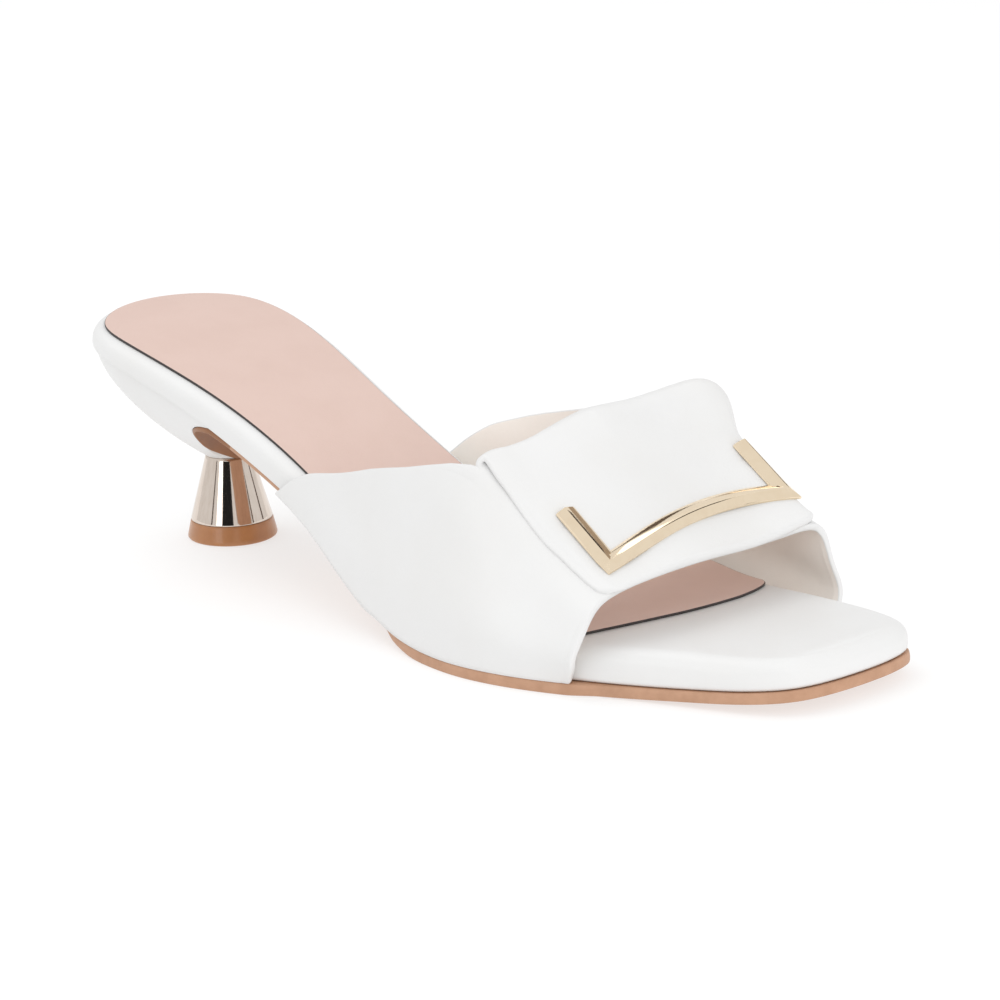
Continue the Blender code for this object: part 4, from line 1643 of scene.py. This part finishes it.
    def columns(self) -> np.ndarray:
        """Places of the grid's columns, close together round the flap's corners.

        Returns:
            Places from -1 to 1.
        """
        half, corner = self.half_span, self.corner
        wall = np.linspace(1.0, half, self.wall_columns)[:-1]
        bend = half - corner * (1.0 - np.sin(np.radians(np.linspace(90.0, 0.0, self.corner_columns))))
        flat = np.linspace(half - corner, 0.0, self.top_columns)[1:]
        side = np.concatenate([wall, bend, flat])
        return np.concatenate([-side, side[-2::-1]])

    def has_flap(self, q: np.ndarray) -> np.ndarray:
        """Whether the flap reaches each place."""
        return np.abs(q) <= self.half_span + TINY

    def flap_end(self, q: np.ndarray) -> np.ndarray:
        """Front edge of the flap, drawn back round both corners.

        Args:
            q: Places round the strap.

        Returns:
            One s for each place.
        """
        inside = np.clip((self.half_span - np.abs(q)) / self.corner, 0.0, 1.0)
        drawn = self.corner_back * (1.0 - np.sqrt(1.0 - (1.0 - inside) ** 2))
        return self.flap_edge(q) - drawn - self.flap_rim

    def flap_body(self, q: Any) -> np.ndarray:
        """Thickness of the flap, thinner towards the outer side."""
        share = blend(self.thin_places[0], self.thin_places[1], -np.asarray(q, float))
        return self.flap_thickness + (self.flap_thin - self.flap_thickness) * share

    def flap_path(self, q: float, back: float) -> tuple[np.ndarray, np.ndarray]:
        """Flap's middle line at place q: rows of s and lift off the strap, and travel.

        Args:
            q: Place round the strap.
            back: The strap's back edge there.

        Returns:
            Rows of s and lift off the strap, and the unit travel at each row.
        """
        height = float(np.interp(q, *np.array(self.loop_heights).T))
        half, half_flap = self.strap_thickness / 2.0, float(self.flap_body(q)) / 2.0
        radius = (height + half_flap + half) / 2.0
        reach = min(radius, self.loop_reach)
        angle = np.radians(np.linspace(0.0, 180.0, self.loop_rows + 1))[1:]
        loop = np.stack([back - reach * np.sin(angle), radius - half - radius * np.cos(angle)], axis=1)
        lying = self.rest + half_flap
        share = np.linspace(0.0, 1.0, self.flap_rows + 1)[1:]
        ahead = (float(self.flap_end(np.array(q))) - back) * share
        rise = (height + half_flap - lying) * (1.0 - blend(0.0, self.loop_length, ahead))
        rows = np.vstack([loop, np.stack([back + ahead, lying + rise], axis=1)])
        start = np.array([(back, -half)])
        travel = np.gradient(np.vstack([start, rows]), axis=0)[1:]
        return rows, unit(travel)

    def strap_grid(self, q: np.ndarray) -> tuple[np.ndarray, np.ndarray]:
        """Outer and inner face of the strap, row by row from the front edge.

        Args:
            q: Places round the strap.

        Returns:
            Outer grid and inner grid.
        """
        share = end_spaced(1.0, 0.0, self.strap_rows)[:, None]
        back, front = self.back(q), self.front(q) - self.rim
        point, normal, _ = self.frame(q, back + (front - back) * share)
        level = (np.abs(q) == 1.0)[None, :, None]
        normal = np.where(level, unit(normal * (1.0, 1.0, 0.0)), normal)
        for fold in self.strap_folds:
            point = point + normal * fold.lift(point, self.point)[..., None]
        behind = (self.front(q) - point[..., 1] - self.groove_at) / self.groove_width
        groove = self.groove_depth * np.exp(-(behind**2)) * blend(*self.groove_places, np.abs(q))
        point = point - normal * groove[..., None]
        full = self.strap_thickness + (self.wall_thin - self.strap_thickness) * blend(*self.wall_places, q)
        skived = np.minimum(full, self.stand_out(point[..., 1]) - self.rest)
        share = blend(self.skive[0], self.skive[1], np.abs(q))
        thick = full + (skived - full) * share
        return point, point - normal * thick[..., None]

    def flap_grid(self, q: np.ndarray) -> tuple[np.ndarray, np.ndarray]:
        """Under and upper face of the flap, row by row from the fold.

        Args:
            q: Places round the strap.

        Returns:
            Under grid and upper grid.
        """
        under, over = [], []
        count = self.loop_rows + self.flap_rows
        swell = blend(0.0, float(self.loop_rows), np.arange(1, count + 1))
        for place, present in zip(q, self.has_flap(q)):
            if not present:
                under.append(np.zeros((count, 3)))
                over.append(np.zeros((count, 3)))
                continue
            back = float(self.back(place))
            thick = self.strap_thickness + (float(self.flap_body(place)) - self.strap_thickness) * swell
            rows, travel = self.flap_path(float(place), back)
            ahead = rows[:, 0] - back
            risen = blend(0.0, 1.0, np.arange(1, count + 1) / self.loop_rows)
            inward = self.drawn(np.maximum(ahead, 0.0)) * blend(self.draw_in_from, self.half_span, -place)
            point, normal, forward = self.frame(place + inward * risen, rows[:, 0])
            clear = blend(0.0, self.loop_length, ahead)
            lean = self.loop_lean + (1.0 - self.loop_lean) * clear
            normal = unit(normal * np.stack([lean, np.ones(count), np.ones(count)], axis=1))
            edge = blend(self.half_span - self.sink_width, self.half_span, abs(place))
            sunk = edge * self.edge_sink * float(self.flap_body(place)) / 2.0
            middle = point + normal * (rows[:, 1:2] - sunk * clear[:, None])
            spread = blend(self.flare_from, self.half_span, place) * risen
            middle[:, :2] += np.outer(spread * (1.0 - blend(0.0, self.flare_length, ahead)), self.flare)
            away = forward * travel[:, 1:2] - normal * travel[:, 0:1]
            under.append(middle + away * thick[:, None] / 2.0)
            over.append(middle - away * thick[:, None] / 2.0)
        under, over = np.array(under).swapaxes(0, 1), np.array(over).swapaxes(0, 1)
        return under, self.folded(over, under)

    def folded(self, over: np.ndarray, under: np.ndarray) -> np.ndarray:
        """Upper face of the flap with its folds.

        Args:
            over: Upper grid.
            under: Under grid.

        Returns:
            Upper grid, lifted along its folds.
        """
        q = self.columns()
        up = unit(over - under)

        def place(across: np.ndarray, along: np.ndarray) -> np.ndarray:
            """Points of the upper face.

            Args:
                across: Places round the strap.
                along: Shares of the flap's length.

            Returns:
                One point for each pair.
            """
            column = np.abs(q[None, :] - across[:, None]).argmin(axis=1)
            row = np.clip((along * (len(over) - 1)).round().astype(int), 0, len(over) - 1)
            return over[row, column]

        for fold in self.flap_folds:
            over = over + up * fold.lift(over, place)[..., None]
        return over

    def build(self, wardrobe: Wardrobe) -> bpy.types.Object:
        """Build strap and flap.

        Args:
            wardrobe: The shoe's finishes.

        Returns:
            The finished piece.
        """
        q = self.columns()
        outer, inner = self.strap_grid(q)
        under, over = self.flap_grid(q)
        on_strap = np.ones((len(outer), len(q)), bool)
        on_flap = np.repeat(self.has_flap(q)[None, :], len(under), axis=0)
        valid = np.vstack([on_strap, on_flap])
        outer, inner = np.vstack([outer, under]), np.vstack([inner, over])
        on_sole = np.abs(q) == 1.0
        scale = np.where(on_strap.all(axis=1)[:, None] & on_sole, self.sole_rim, self.rim)
        scale = np.vstack([scale, np.full(on_flap.shape, self.flap_rim)])
        maker = MeshMaker(self.axes)
        lining_rows = len(on_strap) - 1
        maker.sheet(outer, inner, valid, scale, self.rim_power, lined=lining_rows)
        finishes = [wardrobe.white, wardrobe.strap_lining, wardrobe.white]
        return fit_out(maker.build("strap_and_flap", self.smooth_angle), "upper", finishes)

    def flap_top(self, x: float, s: float) -> tuple[np.ndarray, np.ndarray]:
        """Point and normal on the flap's top face at x and s.

        Args:
            x: Place across the foot.
            s: Station along the foot.

        Returns:
            The point and its unit normal.
        """
        q = np.linspace(*self.spanned)
        place = float(np.interp(x, self.point(q, np.full(q.shape, s))[:, 0], q))
        point, normal, _ = self.frame(np.array(place), np.array(s))
        return point + normal * (self.flap_body(place) + self.rest), normal


@dataclass
class Bracket:
    """Ridged metal bracket on the flap: a bowed bar with an arm at each end."""

    upper: Upper
    axes: ShoeAxes
    path: tuple[tuple[float, float], ...] = (
        (-22.2, 183.2), (-22.4, 190.6), (-22.6, 198.0), (-11.0, 196.7), (4.0, 194.7),
        (20.0, 193.4), (37.0, 197.8), (37.1, 190.4), (37.0, 183.0))
    turns: tuple[int, ...] = (0, 2, 6, 8)
    width: float = 5.0
    height: float = 1.9
    foot: float = 0.65
    bevel: float = 0.14
    swell: float = 0.16
    ridge_at: float = 0.25
    foot_ease: tuple[float, float] = (0.5, 0.25)
    tip_ease: tuple[float, float] = (0.4, 0.33)
    end_ease: float = 0.3
    floor_shares: tuple[float, ...] = (-0.6, -0.2, 0.2, 0.6)
    slope_steps: int = 9
    pinned: float = 40.0
    least_turn: float = 0.5
    smooth_angle: float = 14.0
    rest: float = 0.1
    arm_steps: int = 10
    bar_steps: int = 56

    def slope(self, side: float, swell: float) -> list[tuple[float, float]]:
        """One side of the section, from the flap up to the ridge: share of the half width, and height.

        Args:
            side: Side of the section, -1 or 1.
            swell: Height of the face's swelling.

        Returns:
            Rows of share of the half width, and height.
        """
        ease = 2.0 * self.bevel / self.width
        share = np.linspace(ease, 1.0 - ease, self.slope_steps)
        reach = side + (self.ridge_at - side) * share
        rise = self.foot + (self.height - self.foot) * share + swell * 4.0 * share * (1.0 - share)
        foot = [(side, 0.0), (side, self.foot - self.bevel),
                (side * (1.0 - self.foot_ease[0] * ease), self.foot + self.foot_ease[1] * self.bevel)]
        tip = (self.ridge_at + side * self.tip_ease[0] * ease, self.height - self.tip_ease[1] * self.bevel)
        return [*foot, *zip(reach.tolist(), rise.tolist()), tip]

    def ring(self) -> list[tuple[float, float]]:
        """Section: share of the half width, and height over the flap."""
        floor = [(share, 0.0) for share in self.floor_shares]
        return [*self.slope(1.0, 0.0), *reversed(self.slope(-1.0, self.swell)), *floor]

    def spine(self) -> tuple[np.ndarray, list[int]]:
        """Points along the ridge, and which of them are corners.

        Returns:
            The points, and the numbers of the corners.
        """
        path: list[np.ndarray] = []
        corners = []
        for first, last in zip(self.turns, self.turns[1:]):
            knots = np.array(self.path[first: last + 1])
            curve = Spline(np.arange(len(knots)), knots)
            steps = self.arm_steps if len(knots) == 3 else self.bar_steps
            points = curve(np.linspace(0.0, len(knots) - 1, steps + 1))
            path.extend(points if first == 0 else points[1:])
            corners.append(len(path) - 1)
        return np.array(path), corners[:-1]

    def rail(self, path: np.ndarray, corners: list[int]) -> tuple[np.ndarray, np.ndarray]:
        """Stiff line the bracket lies along: points on the flap and their normals.

        Args:
            path: Points along the ridge, seen from above.
            corners: Numbers of the corners.

        Returns:
            Points on the flap, and their unit normals.
        """
        found = [self.upper.flap_top(x, s) for x, s in path]
        points = np.array([point for point, _ in found])
        normals = np.array([normal for _, normal in found])
        ends = [0, *corners, len(path) - 1]
        for first, last in zip(ends, ends[1:]):
            span = slice(first, last + 1)
            place = np.linspace(0.0, 1.0, last + 1 - first)
            weight = np.ones(len(place))
            weight[[0, -1]] = self.pinned
            bends = 1 if last - first == self.arm_steps else 3
            for rows in (points, normals):
                rows[span] = np.polynomial.polynomial.polyval(
                    place, np.polynomial.polynomial.polyfit(place, rows[span], bends, w=weight)).T
        return points, unit(normals)

    def build(self, wardrobe: Wardrobe) -> bpy.types.Object:
        """Build the bracket.

        Args:
            wardrobe: The shoe's finishes.

        Returns:
            The finished piece.
        """
        path, corners = self.spine()
        points, normals = self.rail(path, corners)
        steps = np.diff(path, axis=0)
        maker = MeshMaker(self.axes)
        rings = []
        for k, (point, normal) in enumerate(zip(points, normals)):
            before = unit(steps[max(k - 1, 0)])
            after = unit(steps[min(k, len(steps) - 1)])
            along = unit(before + after)
            mitre = max(self.least_turn, float(np.dot(along, after))) if k in corners else 1.0
            spread = self.width / 2.0 / mitre
            aside = np.array((-along[1], along[0], 0.0))
            aside = unit(aside - normal * float(np.dot(aside, normal))) * spread
            ends = [(0.0, 1.0, 0.0)]
            if k in (0, len(path) - 1):
                ends = [(self.bevel, 1.0 - self.bevel, self.end_ease * self.bevel), (0.0, 1.0, 0.0)]
                ends = ends if k == 0 else ends[::-1]
            out = unit(np.cross(aside, normal)) * (1.0 if k else -1.0)
            for outward, shrink, sink in ends:
                ring = []
                for reach, rise in self.ring():
                    lift = self.rest + max(rise - sink, 0.0)
                    ring.append(point + aside * reach * shrink + out * outward + normal * lift)
                rings.append(maker.add(np.array(ring)))
        maker.band(rings)
        maker.face(rings[0])
        maker.face(rings[-1])
        made = maker.build("ridged_bracket", self.smooth_angle)
        return fit_out(made, "bracket", [wardrobe.gold])


# ---------------------------------------------------------------- studio


@dataclass(frozen=True)
class Card:
    """Upright curved card that only mirrors see.

    Angles are degrees: round from the camera's side of the part, plus towards the toe, and up.
    Lengths are millimetres in the model.
    """

    name: str
    turn: tuple[float, float]
    rise: tuple[float, float]
    colour: Colour
    glow: float = 0.0
    reach: float = 620.0
    centre: Place = (0.0, 90.0, 12.0)
    columns: int = 13
    rows: int = 5
    lighter: float = 1.1
    roughness: float = 0.95
    grain: Grain = Grain(60.0)

    def paper(self) -> bpy.types.Material:
        """Make the card's paper.

        Returns:
            The finished material.
        """
        paler = tuple(part * self.lighter for part in self.colour)
        paper = MattPaper(self.name + "_paper", self.colour, paler, self.glow, self.roughness, self.grain)
        return paper.make()

    def put_up(self, camera_at: Place) -> None:
        """Build the card.

        Args:
            camera_at: Where the camera stands.
        """
        facing = math.atan2(camera_at[1] - self.centre[1], camera_at[0] - self.centre[0])
        bm = bmesh.new()
        rows = []
        for turn in np.radians(np.linspace(*self.turn, self.columns)):
            column = []
            for rise in np.radians(np.linspace(*self.rise, self.rows)):
                away = Vector((math.cos(facing + turn), math.sin(facing + turn), math.tan(rise)))
                column.append(bm.verts.new((Vector(self.centre) + away * self.reach) * MM))
            rows.append(column)
        for first, second in zip(rows, rows[1:]):
            for k in range(len(first) - 1):
                bm.faces.new((first[k], second[k], second[k + 1], first[k + 1]))
        mesh = bpy.data.meshes.new(self.name)
        bm.to_mesh(mesh)
        bm.free()
        item = bpy.data.objects.new(self.name, mesh)
        mesh.materials.append(self.paper())
        bpy.context.scene.collection.objects.link(item)
        item.visible_camera = False
        item.visible_diffuse = False
        item.visible_shadow = False
        item.visible_transmission = False
        item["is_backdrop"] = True


CARDS = (
    Card("dark_strip", (-29.0, 3.0), (-1.0, 22.0), (0.02, 0.02, 0.02)),
    Card("bright_strip", (-46.0, -29.0), (-1.0, 22.0), (0.9, 0.9, 0.9), 1.5),
    Card("thin_left", (-62.0, -58.0), (-1.0, 22.0), (0.10, 0.08, 0.07)),
    Card("thin_right", (58.0, 63.0), (-1.0, 12.0), (0.12, 0.08, 0.06)),
    Card("far_right", (94.0, 99.0), (-1.0, 12.0), (0.12, 0.09, 0.08)),
    Card("back_dark", (156.0, 182.0), (33.0, 43.0), (0.10, 0.075, 0.06)),
    Card("back_brown", (140.0, 156.0), (26.0, 33.0), (0.35, 0.28, 0.22)),
    Card("back_bright", (136.0, 170.0), (45.5, 58.0), (0.9, 0.9, 0.9), 1.0),
    Card("arm_dark", (100.0, 120.0), (37.0, 46.0), (0.05, 0.04, 0.035)),
    Card("arm_brown", (114.0, 132.0), (22.0, 38.0), (0.34, 0.28, 0.23)),
)


@dataclass
class Studio:
    """Floor, light, reflection cards and camera.  Lengths are millimetres in the model."""

    camera_at: Place = (-592.71, -640.79, 271.46)
    aim: Place = (7.92, -5.29, 25.0)
    roll: float = -2.012
    lens: float = 132.0
    sensor: float = 36.0
    clip: tuple[float, float] = (0.01, 60.0)
    floor_half: float = 9000.0
    floor_squares: int = 8
    world_strength: float = 0.84
    key_power: float = 6.0
    key_at: Place = (-500.0, 700.0, 1500.0)
    key_size: float = 1300.0
    fill_power: float = 3.0
    fill_at: Place = (-250.0, -1050.0, 520.0)
    fill_size: float = 700.0
    cards: tuple[Card, ...] = CARDS

    def camera(self) -> None:
        """Create the camera and make it the scene's own."""
        data = bpy.data.cameras.new("camera")
        data.lens = self.lens
        data.sensor_width = self.sensor
        data.sensor_fit = "HORIZONTAL"
        data.clip_start, data.clip_end = self.clip
        item = bpy.data.objects.new("camera", data)
        place = Vector(self.camera_at) * MM
        look = (Vector(self.aim) * MM - place).to_track_quat("-Z", "Y").to_matrix().to_4x4()
        turn = Matrix.Rotation(math.radians(self.roll), 4, "Z")
        item.matrix_world = Matrix.Translation(place) @ look @ turn
        bpy.context.scene.collection.objects.link(item)
        bpy.context.scene.camera = item

    def floor(self) -> None:
        """Lay the floor."""
        mesh = bpy.data.meshes.new("studio_floor")
        bm = bmesh.new()
        squares = self.floor_squares
        bmesh.ops.create_grid(bm, x_segments=squares, y_segments=squares, size=self.floor_half * MM)
        bm.to_mesh(mesh)
        bm.free()
        item = bpy.data.objects.new("studio_floor", mesh)
        mesh.materials.append(PALE_FLOOR.make())
        bpy.context.scene.collection.objects.link(item)
        item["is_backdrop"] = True

    def lights(self) -> None:
        """Soft even light from all round, with a broad key from above and behind the toe."""
        world = bpy.data.worlds.new("soft_white")
        world.use_nodes = True
        shade = world.node_tree.nodes["Background"]
        shade.inputs["Color"].default_value = (1.0, 1.0, 1.0, 1.0)
        shade.inputs["Strength"].default_value = self.world_strength
        bpy.context.scene.world = world
        self.lamp("key", self.key_at, self.key_size, self.key_power)
        self.lamp("fill", self.fill_at, self.fill_size, self.fill_power, False)

    @staticmethod
    def lamp(name: str, at: Place, size: float, power: float, mirrored: bool = True) -> None:
        """Square soft light that looks at the shoe.

        Args:
            name: Name of the light.
            at: Where it hangs.
            size: Its side.
            power: Its power in watts.
            mirrored: Whether mirrors see it.
        """
        data = bpy.data.lights.new(name, "AREA")
        data.shape = "SQUARE"
        data.size = size * MM
        data.energy = power
        item = bpy.data.objects.new(name, data)
        place = Vector(at) * MM
        turn = (-place).to_track_quat("-Z", "Y").to_matrix().to_4x4()
        item.matrix_world = Matrix.Translation(place) @ turn
        item.visible_glossy = mirrored
        bpy.context.scene.collection.objects.link(item)

    def set_up(self) -> None:
        """Make the whole studio."""
        self.floor()
        self.lights()
        self.camera()
        for card in self.cards:
            card.put_up(self.camera_at)
        bpy.context.scene.view_settings.view_transform = "Standard"


def main() -> None:
    """Build the shoe and its studio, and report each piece."""
    logging.basicConfig(level=logging.INFO, format="%(name)s: %(message)s")
    axes = ShoeAxes.from_frame()
    last = Last()
    wardrobe = Wardrobe.make()
    footbed = Footbed(last, axes)
    heel = Heel(last, axes)
    upper = Upper(last, axes)
    steps = (
        Outsole(last, heel, axes).build, footbed.slab, footbed.insock, heel.block, heel.cone,
        heel.tread, upper.build, Bracket(upper, axes).build,
    )
    for build in steps:
        piece = build(wardrobe)
        LOG.info("%s: %d faces", piece.name, len(piece.data.polygons))
    Studio().set_up()
    boxes = {"cad": CAD_BOX, "visual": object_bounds()}
    {key: [list(corner) for corner in box] for key, box in boxes.items()}


if __name__ == "__main__":
    main()
